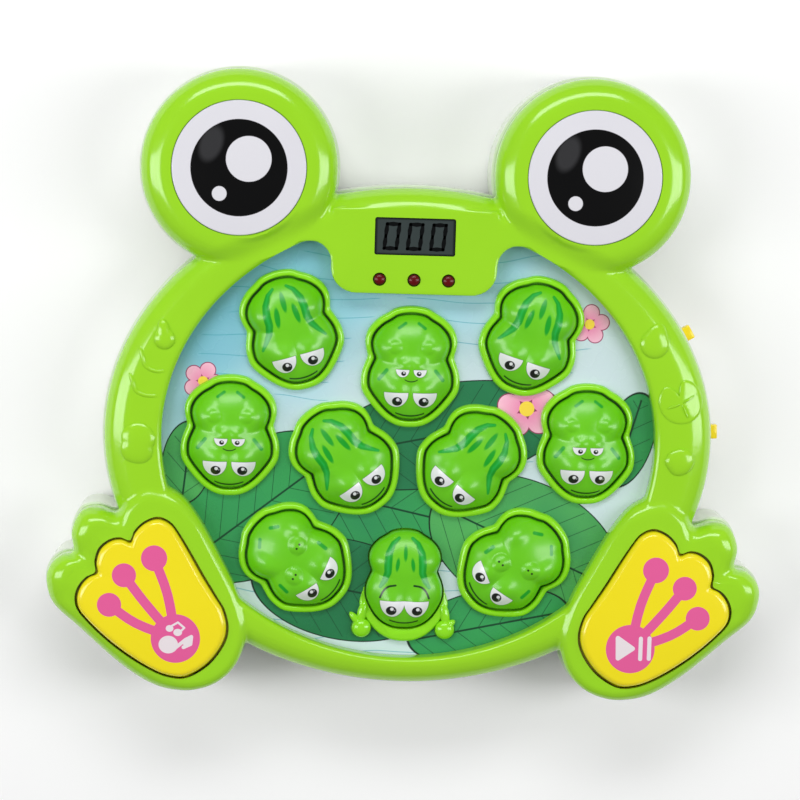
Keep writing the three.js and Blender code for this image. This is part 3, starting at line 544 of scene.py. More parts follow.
# %% Display tab with rounded corners and fillets
tab_half, tab_low, tab_corner, tab_fillet = 34.35, 60.0, 10.5, 8.5
turns = np.linspace(radians(40), radians(89), 2000)
edge_x, edge_y = opening_half_x * np.cos(turns), opening_y + opening_half_y * np.sin(turns)
lean = np.hypot(np.cos(turns) / opening_half_x, np.sin(turns) / opening_half_y)
middle_x = edge_x - tab_fillet * np.cos(turns) / opening_half_x / lean
middle_y = edge_y - tab_fillet * np.sin(turns) / opening_half_y / lean
touch = int(np.argmin(abs(middle_x - tab_half - tab_fillet)))
fillet_x, fillet_y, tab_reach = float(middle_x[touch]), float(middle_y[touch]), float(edge_x[touch])
tab = block((-tab_half, tab_low + ring_y, start), (tab_half, 95 + ring_y, ring_top))
tab = on_bench(round_uprights(tab, tab_corner, 10, tab_low + ring_y + 1), "tab")
shoulders = on_bench(block((-tab_reach, fillet_y + ring_y, start), (tab_reach, 90 + ring_y, ring_top)), "tab")
for side in (-1, 1):
    boolean(shoulders, post(tab_fillet, start - 3, ring_top + 3, (side * fillet_x, fillet_y), 64))
print("tab", len(tab.data.polygons), "faces")

# %% Lobes and feet
# A foot's edge is tighter where it faces the play field.
def foot_round(side):
    def radius(angle):
        inward = cos(angle) * -side
        return 7.5 - 3.6 * max(0.0, min(1.0, (inward - 0.1) / 0.5))
    return radius


lobe_at = round_outline(eye_radius)
lobes, feet = [], []
for side in (-1, 1):
    lobe = stack(straight_then_round(front_inset, 10, eye_top), lobe_at, eye_place[side], segments=160)
    lobes.append(on_bench(lobe, "lobe"))
    boolean(lobes[-1], stack([(1, 0, start - 3), (1, 0, eye_top + 3)], opening_at, segments=160))
    foot = stack(straight_then_round(front_inset, foot_round(side), foot_top), foot_at[side],
                 foot_place[side], segments=200)
    feet.append(on_bench(foot, "foot"))
print("two lobes and two feet")

# %% Melt the front together
join(front, tab, shoulders, *lobes, *feet)
melt(front, voxel=0.8, smooth=5, keep=0.4)
print("melted front", len(front.data.polygons), "faces")

# %% Let the lobes sink into the ring, and raise the toes
def ease(value, low, high):
    share = max(0.0, min(1.0, (value - low) / (high - low)))
    return share * share * (3 - 2 * share)


def mound(x, y, centre, half, height, steep=1.0):
    """A soft hill on a surface, in millimetres."""
    reach = ((x - centre[0]) / half[0]) ** 2 + ((y - centre[1]) / half[1]) ** 2
    return height * exp(-reach ** steep)


toes = [on_foot(side, share) for side in (-1, 1) for share in ((-0.29, 0.27), (-0.4, 0.05))]
for v in front.data.vertices:
    x, y = v.co.x, v.co.y - ring_y
    away = min(hypot(x - place[0], y - place[1]) for place in eye_place.values())
    if v.co.z > ring_top and away < 43:
        depth = (1 - hypot(x / rim_half_x, y / rim_half_y)) * 112
        v.co.z -= (v.co.z - ring_top) * ease(depth, 2, 15) * ease(away, 27.6, 31)
    elif v.co.z > foot_top - 8:
        v.co.z += sum(mound(x, y, toe, (7.5, 7.5), 1.4, 1.3) for toe in toes)
print("lobes and toes shaped")

# %% [markdown]
# The rim carries small raised marks: drops, ripples, a cloud, a round leaf and a bean. On the mould each
# is a shallow cut, so they have a crisp foot and follow the curve of the rim. They are made as pads whose
# height is read from the rim's own section, and are joined on after the melting so that they stay sharp.

# %% Outlines of the marks
def ring_height(x, y):
    """The height of the ring's skin over a place, in millimetres."""
    away = min(10.0, max(0.0, rim_at(atan2(y, x)) - hypot(x, y) - front_inset))
    return ring_top - 10 + sqrt(100 - (10 - away) ** 2)


def drop_radius(size, point, stretch, sharpness):
    return lambda a: size * (1 + stretch * max(0.0, cos(a - point)) ** sharpness)


def cloud_radius(wide, high):
    body = ellipse_radius(wide, high)
    return lambda a: body(a) * (1 - 0.14 * max(0.0, cos(a - radians(176))) ** 16
                                - 0.14 * max(0.0, cos(a + radians(12))) ** 16
                                - 0.06 * max(0.0, cos(a + 1.7)) ** 12)


def leaf_radius(size):
    return lambda a: size * (1 - 0.72 * max(0.0, cos(a - radians(112))) ** 26)


def bean_radius(size):
    return lambda a: size * (1 + 0.06 * cos(2 * (a - 0.5)) - 0.14 * max(0.0, cos(a - radians(215))) ** 10)


print("the rim is", round(ring_height(113, 17), 1), "mm high under the leaf")

# %% Raised marks on the rim
pillow = ((1, -3), (1, 0.2), (0.95, 0.52), (0.85, 0.88), (0.7, 1.18), (0.5, 1.4), (0.25, 1.5), (0, 1.53))
flat_pad = ((1, -3), (1, 0.2), (0.96, 0.45), (0.88, 0.55), (0.5, 0.6), (0, 0.62))


def pad_form(outline, place, rise, form, turn=0.0):
    """A pad that follows the skin. rise gives (share of the outline, height over the skin)."""
    levels = [(share, 0, lambda a, s=share, up=lift: up + ring_height(
        place[0] + outline(a) * s * cos(a + turn), place[1] + outline(a) * s * sin(a + turn)))
        for share, lift in rise]
    return stack(levels, outline, place, turn, 72, pole=True, form=form)


def raise_faces(form, height, keep=False):
    """Extrudes every face of a form straight up or down. keep leaves the first faces in place."""
    made = bmesh.ops.extrude_face_region(form, geom=list(form.faces), use_keep_orig=keep)["geom"]
    verts = [item for item in made if isinstance(item, bmesh.types.BMVert)]
    bmesh.ops.translate(form, vec=(0, 0, height), verts=verts)


def ripple_form(corners, half, lift):
    """A rounded ridge along a smooth path over the ring."""
    path = curve_through(corners, 8)
    form = bmesh.new()
    bmesh.ops.create_grid(form, x_segments=len(path) - 1, y_segments=6, size=0.5)
    for v in form.verts:
        step = round((v.co.x + 0.5) * (len(path) - 1))
        before, after = path[max(0, step - 1)], path[min(len(path) - 1, step + 1)]
        run = hypot(after[0] - before[0], after[1] - before[1])
        end = sqrt(min(1.0, 0.15 + min(step, len(path) - 1 - step) / 5))
        across = v.co.y * 2 * half * end
        x = path[step][0] - across * (after[1] - before[1]) / run
        y = path[step][1] + across * (after[0] - before[0]) / run
        v.co = (x, y + ring_y, ring_height(x, y) - 0.15 + (lift + 0.15) * end * (1 - (across / half) ** 2))
    raise_faces(form, -3, keep=True)
    return form


marks = bmesh.new()
pad_form(drop_radius(4.3, radians(98), 0.95, 12), (-101.9, 39.0), pillow, marks)
pad_form(drop_radius(5.9, radians(76), 0.52, 7), (100.4, 42.2), pillow, marks)
pad_form(cloud_radius(7.6, 8.7), (-112.2, -4.6), pillow, marks)
pad_form(leaf_radius(9.3), (112.4, 18.6), flat_pad, marks)
pad_form(bean_radius(5.9), (112.6, -6.6), pillow, marks)
boolean(front, marks, "UNION")
veins = bmesh.new()
for degrees in (35, 295, 200):
    turn = radians(degrees)
    pad_form(ellipse_radius(3.0, 0.42), (112.6 + 3.5 * cos(turn), 17.8 + 3.5 * sin(turn)),
             ((1, -3), (1, 0.8), (0.7, 1.05), (0, 1.1)), veins, turn)
boolean(front, veins, "UNION")
for corners in (((-111.9, 35.6), (-110.9, 31.6), (-109.6, 27.8), (-106.1, 25.8), (-101.8, 25.6)),
                ((-116.0, 24.6), (-114.7, 21.1), (-113.2, 17.3), (-109.6, 15.6), (-104.4, 15.3))):
    boolean(front, ripple_form(corners, 1.0, 0.5), "UNION")
print("front with its marks", len(front.data.polygons), "faces")

# %% [markdown]
# A moulding is a thin wall, not a block. The inside is cut out with the same outlines drawn in by the
# wall, and the openings for the eyes, the buttons, the display and the lamps are cut last so that their
# edges stay crisp.

# %% Hollow the front and cut its openings
wall, lip_low = 2.2, 37.5
inner_inset = front_inset + wall
disc_seat, disc_radius, disc_recess = eye_top - 1.2, 27.5, 27.8
button_gap, lamp_hole = 1.1, 2.75
lamp_places = {"left": (-14.2, 66.0), "middle": (0, 66.0), "right": (14.2, 66.0)}
display_y, window_half_x, window_half_y = 83.8, 16.65, 7.7
button_corners = [
    (0.052, 0.325), (-0.012, 0.303), (-0.058, 0.258), (-0.078, 0.212), (-0.125, 0.226), (-0.176, 0.216),
    (-0.222, 0.178), (-0.241, 0.118), (-0.236, 0.066), (-0.276, 0.046), (-0.312, 0.008), (-0.331, -0.045),
    (-0.322, -0.1), (-0.28, -0.152), (-0.194, -0.23), (-0.09, -0.306), (0.02, -0.37), (0.11, -0.405),
    (0.2, -0.408), (0.3, -0.35), (0.37, -0.26), (0.392, -0.18), (0.372, -0.095), (0.33, -0.03),
    (0.268, 0.063), (0.2, 0.175), (0.152, 0.25), (0.112, 0.3),
]
button_share = (0.03, -0.06)
left_button_at = smooth_radius(button_corners, foot_width, foot_length, button_share)
button_at = {-1: left_button_at, 1: mirrored(left_button_at)}
button_place = {side: (foot_place[side][0] - side * button_share[0] * foot_width,
                       foot_place[side][1] + button_share[1] * foot_length) for side in (-1, 1)}
boolean(front, block((-200, -200, start - 5), (200, 200, front_low)))
cut_low = front_low - 4


def front_room(outline, place, radius, roof, segments):
    """The hollow under one form of the front, a wall's thickness inside its skin."""
    levels = [(1, inner_inset, cut_low)] + round_over(inner_inset, radius, roof - wall, 4)
    return stack(levels, outline, place, segments=segments)


boolean(front, stack([(1, inner_inset, cut_low), (1, inner_inset, lip_low)], rim_at, segments=160))
ring_room = on_bench(front_room(rim_at, (0, 0), 8, ring_top, 160), "ring_room")
boolean(ring_room, stack([(1, 0, cut_low - 2), (1, 0, ring_top)], grown(opening_at, wall), segments=160))
boolean(ring_room, block((-tab_half - 1, tab_low + ring_y, cut_low - 2),
                         (tab_half + 1, 95 + ring_y, ring_top)))
combine(front, ring_room)
tab_room = block((-tab_half + wall, tab_low + wall + ring_y, cut_low),
                 (tab_half - wall, 88 + ring_y, ring_top - wall))
boolean(front, round_uprights(tab_room, tab_corner - wall, 8, tab_low + wall + ring_y + 1))
for side in (-1, 1):
    boolean(front, front_room(lobe_at, eye_place[side], 6, ring_top, 96))
    boolean(front, post(25, cut_low, disc_seat - wall, eye_place[side], 64))
    boolean(front, front_room(foot_at[side], foot_place[side], 4, foot_top, 120))
    boolean(front, post(disc_recess, disc_seat, eye_top + 3, eye_place[side], 128))
    boolean(front, stack([(1, -button_gap, lip_low), (1, -button_gap, foot_top + 3)], button_at[side],
                         button_place[side], segments=160))
for place in lamp_places.values():
    boolean(front, post(lamp_hole, cut_low, ring_top + 3, place, 32))
window = block((-window_half_x, display_y - window_half_y + ring_y, cut_low),
               (window_half_x, display_y + window_half_y + ring_y, ring_top + 3))
boolean(front, round_uprights(window, 0.9, 4))
as_piece(front, "green_front", lime, "case", ["top_bezel"], sharp=32)

# %% [markdown]
# The pale tray under the front holds the works. It has the same outline, a little larger, so a thin pale
# line shows all round. Its underside carries the battery bay, the loudspeaker's grille, six deep screw
# holes and four seats for rubber pads, and its right wall has two slots for the switches. A sheet with a
# Solidify modifier would give the wall, but not the posts and the bay, so closed forms are joined first
# and then cut.

# %% Places under the tray
screws = {}
pads = {}
for side, word in ((-1, "left"), (1, "right")):
    screws["eye_" + word] = (eye_place[side][0], eye_place[side][1] + 12)
    screws["side_" + word] = (side * 117.25, 22)
    screws["foot_" + word] = on_foot(side, (0.45, -0.2))
    pads["head_" + word] = (eye_place[side][0] + side * 20, eye_place[side][1] - 8)
    pads["foot_" + word] = on_foot(side, (0.08, -0.28))
stations = {}
for word, degrees in (("volume", 20.9), ("power", 1.6)):
    reach = rim_at(radians(degrees))
    x, y = reach * cos(radians(degrees)), reach * sin(radians(degrees))
    stations[word] = ((x, y + ring_y), atan2(y / rim_half_y ** 2, x / rim_half_x ** 2))
print("screws:", len(screws), "pads:", len(pads), "switches:", list(stations))

# %% Outside and inside of the tray
tray_low, floor_top, tray_top = 2.0, 4.2, 31.0


def tray_outside():
    edge = [(1, 2.5, tray_low), (1, 1.4, tray_low + 0.5), (1, 0.5, tray_low + 1.4), (1, 0, tray_low + 2.8),
            (1, 0, tray_top)]
    tray = on_bench(stack(edge, rim_at, segments=200), "tray")
    for side in (-1, 1):
        boolean(tray, stack(edge, lobe_at, eye_place[side], segments=120), "UNION")
        boolean(tray, stack(edge, foot_at[side], foot_place[side], segments=160), "UNION")
    return tray


def tray_inside(tray):
    room = [(1, wall, floor_top), (1, wall, tray_top + 2)]
    boolean(tray, stack(room, rim_at, segments=120))
    for side in (-1, 1):
        boolean(tray, stack(room, lobe_at, eye_place[side], segments=96))
        boolean(tray, stack(room, foot_at[side], foot_place[side], segments=120))


tray = tray_outside()
tray_inside(tray)
print("tray shell", len(tray.data.polygons), "faces")

# %% Bay, posts, seats and slots of the tray
def about_bay(half_x, y0, y1, z0, z1):
    return block((-half_x, y0 + ring_y, z0), (half_x, y1 + ring_y, z1))


post_top, screw_post = 24.05, 4.5
shank_hole, head_hole, pad_seat = 1.7, 3.0, 7.3
cup_outside, cup_inside = 23.8, 22.3
speaker_place = (0, -53.35)
for place in screws.values():
    boolean(tray, post(screw_post, tray_low + 1, post_top, place), "UNION")
boolean(tray, about_bay(24.45, -18.75, 42.75, 2.3, 20.7), "UNION")
boolean(tray, about_bay(8.5, -27.75, -15.75, 2.3, 13.15), "UNION")
boolean(tray, post(cup_outside, 2.3, 8.6, speaker_place, 64), "UNION")
boolean(tray, post(cup_inside, floor_top, 10, speaker_place, 64))
boolean(tray, about_bay(22.95, -17.25, 41.25, 1, 19.2))
boolean(tray, about_bay(7, -26.25, -15.75, 1, 5.6))
for place in screws.values():
    boolean(tray, post(head_hole, 1, post_top - wall, place))
    boolean(tray, post(shank_hole, 1, post_top + 1, place, 24))
for place in pads.values():
    boolean(tray, post(pad_seat, 1, 2.9, place, 48))
grille_radius, slot_half = 17.6, 1.2
for rise in (-11, -5.5, 0, 5.5, 11):
    half, slot_y = sqrt(grille_radius ** 2 - rise ** 2), speaker_place[1] + rise + ring_y
    slot = block((-half, slot_y - slot_half, 1), (half, slot_y + slot_half, 6))
    boolean(tray, round_uprights(slot, 1.1, 4))
for spot, turn in stations.values():
    boolean(tray, block((-3.3, -6.6, 14.8), (1.1, 6.6, 20.4), turn=turn, about=spot))
as_piece(tray, "pale_tray", pale, "case", ["back_shell"], sharp=32)

# %% [markdown]
# Ten frogs stand in a green deck. Nine share a waisted outline that narrows towards the chin, and the deck
# has a raised collar round each of their holes. The lowest frog is smaller and sits: it has no collar, only
# a broad crescent under the chin, with an arm and a round hand at each side. The outlines could be traced
# as curves, but a radius at each angle serves the cap, the hole and the collar alike, with room between.

# %% Outline and places of the frogs
half_outline = [(0, 0.5), (0.15, 0.483), (0.24, 0.44), (0.345, 0.387), (0.43, 0.31), (0.464, 0.225),
                (0.45, 0.145), (0.42, 0.078), (0.441, 0.03), (0.478, -0.04), (0.495, -0.115), (0.48, -0.21),
                (0.4, -0.335), (0.29, -0.432), (0.15, -0.487), (0, -0.5)]
frog_corners = half_outline + [(-x, y) for x, y in reversed(half_outline[1:-1])]
slimness, chin_taper = 0.968, 0.14
slim_corners = [(x * (slimness - chin_taper * ease(-y, 0.2, 0.45)), y) for x, y in frog_corners]
frog_at = smooth_radius(slim_corners, 35.4, 43.3)
sitting_at = smooth_radius(frog_corners, 32.2, 41.0)
frog_turns = {
    "upper_left": 17, "upper_middle": 0, "upper_right": -17, "far_left": 0, "inner_left": 39,
    "inner_right": -39, "far_right": 0, "lower_left": 50, "lower_middle": 0, "lower_right": -50,
}


def outline_of(name):
    return sitting_at if name == "lower_middle" else frog_at


frogs = {}
for name, turn in frog_turns.items():
    low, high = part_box("frog_" + name)
    middle = (low + high) / 2 / mm
    frogs[name] = ((middle.x, middle.y - ring_y), radians(turn))
print("frogs stand", [tuple(round(v, 1) for v in place) for place, turn in frogs.values()])

# %% Deck plate with its collars
deck_low, deck_top, deck_lap, collar_top = 34.4, 36.4, 4.5, 39.9


def collar_form(place, turn):
    outside = [(1, -3.6, deck_low + 0.3), (1, -3.9, 36.9), (1, -3.8, 37.5), (1, -3.65, 38.2),
               (1, -3.45, 39.0), (1, -3.1, 39.5), (1, -2.5, collar_top), (1, -1.8, collar_top)]
    return stack(outside, frog_at, place, turn, 120)


def chin_share(angle):
    """1 under the chin, 0 past the corners of the crescent."""
    off = abs((angle + pi / 2 + pi) % (2 * pi) - pi)
    return ease(-off, -radians(73), -radians(56)) * (0.55 + 0.45 * ease(-off, -radians(52), 0))


def crescent_form(place, turn):
    outside = [(1, lambda a: -1.5 - 4.7 * chin_share(a), deck_low + 0.3)]
    for out, up in ((0, 0.0), (0, 0.45), (0.25, 0.75), (0.6, 0.93), (1.1, 1.0)):
        outside.append((1, lambda a, o=out: -1.5 - 4.7 * chin_share(a) + o * (0.2 + 1.3 * chin_share(a)),
                        lambda a, u=up: 36.75 + u * (0.1 + 3.2 * chin_share(a) ** 0.5)))
    return stack(outside, sitting_at, place, turn, 120)


deck = on_bench(stack([(1, -deck_lap, deck_low), (1, -deck_lap, deck_top)], opening_at, segments=160), "deck")
for name, (place, turn) in frogs.items():
    boolean(deck, crescent_form(place, turn) if name == "lower_middle" else collar_form(place, turn), "UNION")
for name, (place, turn) in frogs.items():
    gap = 0.75 if name == "lower_middle" else 1.0
    hole = [(1, -gap, deck_low - 2), (1, -gap, collar_top - 0.9), (1, -gap - 0.15, collar_top - 0.35),
            (1, -gap - 0.6, collar_top), (1, -gap - 0.7, collar_top + 3)]
    boolean(deck, stack(hole, outline_of(name), place, turn, 120))
print("deck", len(deck.data.polygons), "faces")

# %% Hands of the lowest frog
low_place = frogs["lower_middle"][0]
hand_places = {side: (side * 17.46, low_place[1] - 21.34) for side in (-1, 1)}
for side in (-1, 1):
    hand = turned([(3.2, deck_top - 0.5), (3.9, 37.2), (4.1, 38.4), (3.7, 39.7), (2.6, 40.7), (1.3, 41.1),
                   (0, 41.2)], hand_places[side], 40, pole=True)
    boolean(deck, hand, "UNION")
    thumb = (side * 21.6, -15.8) if side < 0 else (side * 20.6, -18.2)
    arm = ((side * 16.4, -11.2), (side * 18.0, -18.4), 2.1)
    for a, b, thick in (arm, ((side * 17.8, -20.2), thumb, 1.6)):
        run, lean = hypot(b[0] - a[0], b[1] - a[1]), atan2(b[1] - a[1], b[0] - a[0])
        limb = bmesh.new()
        bmesh.ops.create_uvsphere(limb, u_segments=24, v_segments=14, radius=1.0, matrix=(
            Matrix.Translation(((a[0] + b[0]) / 2, low_place[1] + (a[1] + b[1]) / 2 + ring_y, 38.3))
            @ Matrix.Rotation(lean, 4, "Z") @ Matrix.Diagonal((run / 2 + 1.4, thick, 1.8, 1.0))))
        boolean(deck, limb, "UNION")
as_piece(deck, "frog_deck", collar_green, "case", ["deck_plate"], sharp=38)

# %% [markdown]
# Each frog is a hollow cap with a flange that stops it under the deck and a stem that pushes a rubber
# dome. The back is sculpted: every point of the dome is lifted by a few soft hills. A brush could do
# that by hand, but hills given by numbers can be changed one at a time and shared. Three moulds are
# used, one with a small frog on its back, one with two ridges and one with two warts.

# %% Sculpting hills
def round_hill(x, y, centre, radius, height):
    """A small round hill with a crease at its foot."""
    reach = ((x - centre[0]) ** 2 + (y - centre[1]) ** 2) / radius ** 2
    return height * max(0.0, 1 - reach) ** 0.85


def face_hills(x, y):
    eyes = mound(abs(x), y, (6.0, -10.4), (5.2, 5.6), 2.4, 1.3)
    thighs = mound(abs(x), y, (11.2, 9.6), (4.6, 5.4), 2.0, 1.3)
    return eyes + (thighs + mound(abs(x), y, (13.6, -4.0), (4.2, 5.0), 0.9))


def baby_hills(x, y):
    lift = face_hills(x, y) + mound(x, y, (0, 10.0), (7.0, 7.5), 0.9)
    lift += round_hill(abs(x), y, (6.6, 8.6), 3.0, 0.7)
    lift += mound(x, y, (0, -0.6), (7.0, 5.0), 1.7, 1.8)
    return lift + mound(abs(x), y, (3.4, 1.2), (2.6, 2.8), 0.8)


def ridge_hills(x, y):
    lift = face_hills(x, y) + mound(x, y, (0, 8.0), (6.5, 12.0), 1.0)
    lift += mound(abs(x), y, (5.8, 11.0), (2.4, 6.5), 0.8)
    return lift + mound(abs(x), y, (7.4, 1.0), (2.6, 5.0), 0.7)


def wart_hills(x, y):
    lift = face_hills(x, y) + mound(x, y, (0, 6.0), (10.0, 12.0), 0.8)
    return lift + sum(round_hill(x, y, spot, 3.9, 1.4) for spot in warts)


warts = ((5.5, 4.0), (-5.0, -3.2))
print("hill over the eye:", round(face_hills(6.0, -10.4), 2), "mm")

# %% Frog caps
wall_top, frog_crown = 39.0, 7.4
flange_low, flange_top, flange_out = 32.6, 34.1, 1.2
stem_radius, stem_low = 3.2, 29.2


def frog_form(place, turn, hills, outline):
    inside = [(0.5, 0, 43.6), (0.8, 0, 42.8), (1, wall, 38.6), (1, wall, flange_low)]
    outside = [(1, -flange_out, flange_low), (1, -flange_out, flange_top), (1, 0, flange_top),
               (1, 0, wall_top - 1)]
    dome = []
    for step in range(46):
        bend = step / 46 * pi / 2
        dome.append((cos(bend) ** (1 / 1.25), 0, wall_top + frog_crown * sin(bend)))
    dome.append((0, 0, wall_top + frog_crown))
    form = stack(inside + outside + dome, outline, place, turn, 144, pole=True)
    spot = form.verts.layers.float_vector.new("frog_place")
    x0, y0 = place[0], place[1] + ring_y
    for v in form.verts:
        dx, dy = v.co.x - x0, v.co.y - y0
        x, y = dx * cos(turn) + dy * sin(turn), dy * cos(turn) - dx * sin(turn)
        v[spot] = (x, y, v.co.z)
        if v.co.z > wall_top:
            share = min(1.0, hypot(x, y) / outline(atan2(y, x)))
            v.co.z += hills(x, y) * (1 - share ** 5)
    return form


moulds = {"upper_middle": "baby", "far_left": "baby", "far_right": "baby", "lower_left": "wart",
          "lower_right": "wart"}
hill_kinds = {"baby": baby_hills, "wart": wart_hills, "ridge": ridge_hills}
print("baby frogs:", [name for name, kind in moulds.items() if kind == "baby"])

# %% [markdown]
# The frogs are painted: half-round eyes with heavy lids, a smile, and green brush marks. They could be a
# picture on a UV map, but a picture blurs when the camera comes near. So the marks are drawn by distance: a
# node tree works out how far each point lies from an oval or a pen stroke, in the frog's own millimetres,
# and a threshold turns that into a sharp printed edge.

# %% Paint of the frogs
frog_green = (tint(112, 206, 18), tint(94, 190, 12))
brush_green = tint(4, 156, 28)
line_green = tint(10, 60, 14)
ink_black = tint(3, 6, 3)
eye_white = tint(236, 238, 240)


def frog_base(name):
    canvas = blotched(name, *frog_green, 14.0, attribute="frog_place")
    canvas.gloss(0.26, 0.36)
    canvas.texture(canvas.noise(1.2, 3.0, 5.0), 0.004)
    canvas.coat(0.25, 0.16)
    return canvas


def paint_eyes(canvas, centre, half, lid, pupil, size, slant=0.0):
    """Two half-round whites cut off by the lid, with pupils and a glint to the upper right."""
    x = abs(canvas.x)
    dx, dy = (x - centre[0]) / half[0], (canvas.y - centre[1]) / half[1]
    white = ((dx * dx + dy * dy).work("SQRT") - 1.0) * half[0]
    white = white.farthest(canvas.y - lid + (x - centre[0]) * slant)
    canvas.paint(ink_black, (white - 0.12).inside(0.2))
    canvas.paint(eye_white, white.inside(0.2))
    for side in (-1, 1):
        canvas.paint(ink_black, canvas.oval(side * pupil[0], pupil[1], size, size * 0.92).inside(0.25))
        canvas.paint(eye_white, canvas.circle(side * pupil[0] + size * 0.12, pupil[1] + size * 0.35,
                                              size * 0.34).inside(0.3))
        canvas.paint(tint(150, 150, 155), canvas.circle(side * pupil[0] + size * 0.62, pupil[1] + size * 0.1,
                                                        size * 0.16).inside(0.3))


def paint_smile(canvas, reach, low, rise, half=0.34):
    bend = canvas.x * canvas.x * (rise / reach ** 2)
    line = abs(canvas.y - low - bend) - half
    canvas.paint(line_green, line.farthest(abs(canvas.x) - reach).inside(0.25))


def frog_face(canvas, lid=-10.2, slant=0.0):
    paint_eyes(canvas, (5.95, -10.6), (4.95, 5.7), lid, (5.5, -13.9), 2.1, slant)
    paint_smile(canvas, 6.0, -20.2, 1.2)


def brush_paint(canvas, line, middle, reach):
    """A brush mark that is widest in the middle of its run and has a paler core."""
    along = (canvas.y - middle) * (1 / reach)
    full = (along * along) * -1.0 + 1.0
    canvas.paint(brush_green, (line - full * 1.35).inside(0.5))
    canvas.paint(tint(20, 172, 62), (line - full * 0.3 + canvas.noise(5.0) * 0.9 - 0.3).inside(0.9))


def striped_finish():
    canvas = frog_base("frog_striped_paint")
    x = abs(canvas.x)
    outer = canvas.strokes([(2.9, 18.6), (5.4, 16.6), (7.4, 12.6), (8.0, 8.4), (8.0, 4.4), (9.1, 0.8),
                            (11.2, -2.2), (13.4, -5.0)], 0.3, x)
    brush_paint(canvas, outer, 7.0, 13.0)
    short = canvas.oval(0, 12.4, 1.15, 4.2).nearest(canvas.oval(4.0, 6.8, 1.15, 4.2, 0.12))
    canvas.paint(brush_green, short.nearest(canvas.oval(-4.0, 6.8, 1.15, 4.2, -0.12)).inside(0.5))
    frog_face(canvas)
    return canvas.finish


def baby_finish():
    canvas = frog_base("frog_baby_paint")
    x = abs(canvas.x)
    upper = canvas.stroke((2.7, 18.4), (5.4, 16.4), 0.6, x)
    lower = canvas.stroke((10.1, -1.0), (13.2, -4.8), 0.75, x)
    canvas.paint(brush_green, upper.nearest(lower).inside(0.5))
    paint_eyes(canvas, (3.6, -0.6), (2.7, 3.0), -0.5, (3.2, -2.1), 1.0)
    paint_smile(canvas, 2.7, -5.5, 0.9, 0.22)
    frog_face(canvas)
    return canvas.finish


def wart_finish():
    canvas = frog_base("frog_wart_paint")
    x = abs(canvas.x)
    upper = canvas.stroke((3.2, 17.2), (5.8, 15.2), 0.7, x)
    lower = canvas.stroke((12.0, -1.8), (12.2, -5.6), 0.75, x)
    canvas.paint(brush_green, upper.nearest(lower).inside(0.5))
    dots = None
    for x, y in warts:
        pair = canvas.circle(x - 1.1, y - 0.4, 0.45).nearest(canvas.circle(x + 1.0, y - 0.1, 0.45))
        dots = pair if dots is None else dots.nearest(pair)
    canvas.paint(ink_black, dots.inside(0.25))
    frog_face(canvas, -10.8, -0.3)
    return canvas.finish


def sitting_finish():
    canvas = frog_base("frog_sitting_paint")
    x = abs(canvas.x)
    outer = canvas.strokes([(2.8, 17.8), (5.2, 15.6), (6.8, 11.8), (7.2, 7.6), (7.2, 3.6), (8.4, 0.2),
                            (10.2, -2.6)], 0.3, x)
    brush_paint(canvas, outer, 7.5, 12.0)
    short = canvas.oval(0, 11.8, 0.8, 3.2).nearest(canvas.oval(3.2, 7.0, 0.8, 2.8, 0.12))
    canvas.paint(brush_green, short.nearest(canvas.oval(-3.2, 7.0, 0.8, 2.8, -0.12)).inside(0.5))
    brows = canvas.strokes(curve_through([(10.2, -7.0), (8.9, -4.2), (6.9, -2.3), (3.9, -1.7)], 3), 0.42, x)
    canvas.paint(line_green, brows.inside(0.25))
    paint_eyes(canvas, (5.0, -8.0), (5.2, 7.2), -8.3, (5.4, -12.4), 2.2)
    paint_smile(canvas, 6.0, -18.1, 1.2)
    return canvas.finish


paints = {"ridge": striped_finish(), "baby": baby_finish(), "wart": wart_finish(),
          "sitting": sitting_finish()}
print("frog paints:", {kind: len(paint.node_tree.nodes) for kind, paint in paints.items()})

# %% Make the ten frogs
for name, (place, turn) in frogs.items():
    kind = moulds.get(name, "ridge")
    frog = on_bench(frog_form(place, turn, hill_kinds[kind], outline_of(name)), "frog")
    stem = on_bench(post(stem_radius, stem_low, 44.5, place, 24), "stem")
    join(frog, stem)
    paint = paints["sitting"] if name == "lower_middle" else paints[kind]
    as_piece(frog, "frog_cap_" + name, paint, "frog_" + name, ["frog_" + name], sharp=50)

# %% [markdown]
# A printed sheet lies on the deck. Its print here is a generic pond: pale water with ripples, oval
# leaves with a midrib, and blossoms of five round petals. It is drawn entirely by nodes, which needs no
# picture file and stays sharp however near the camera comes.

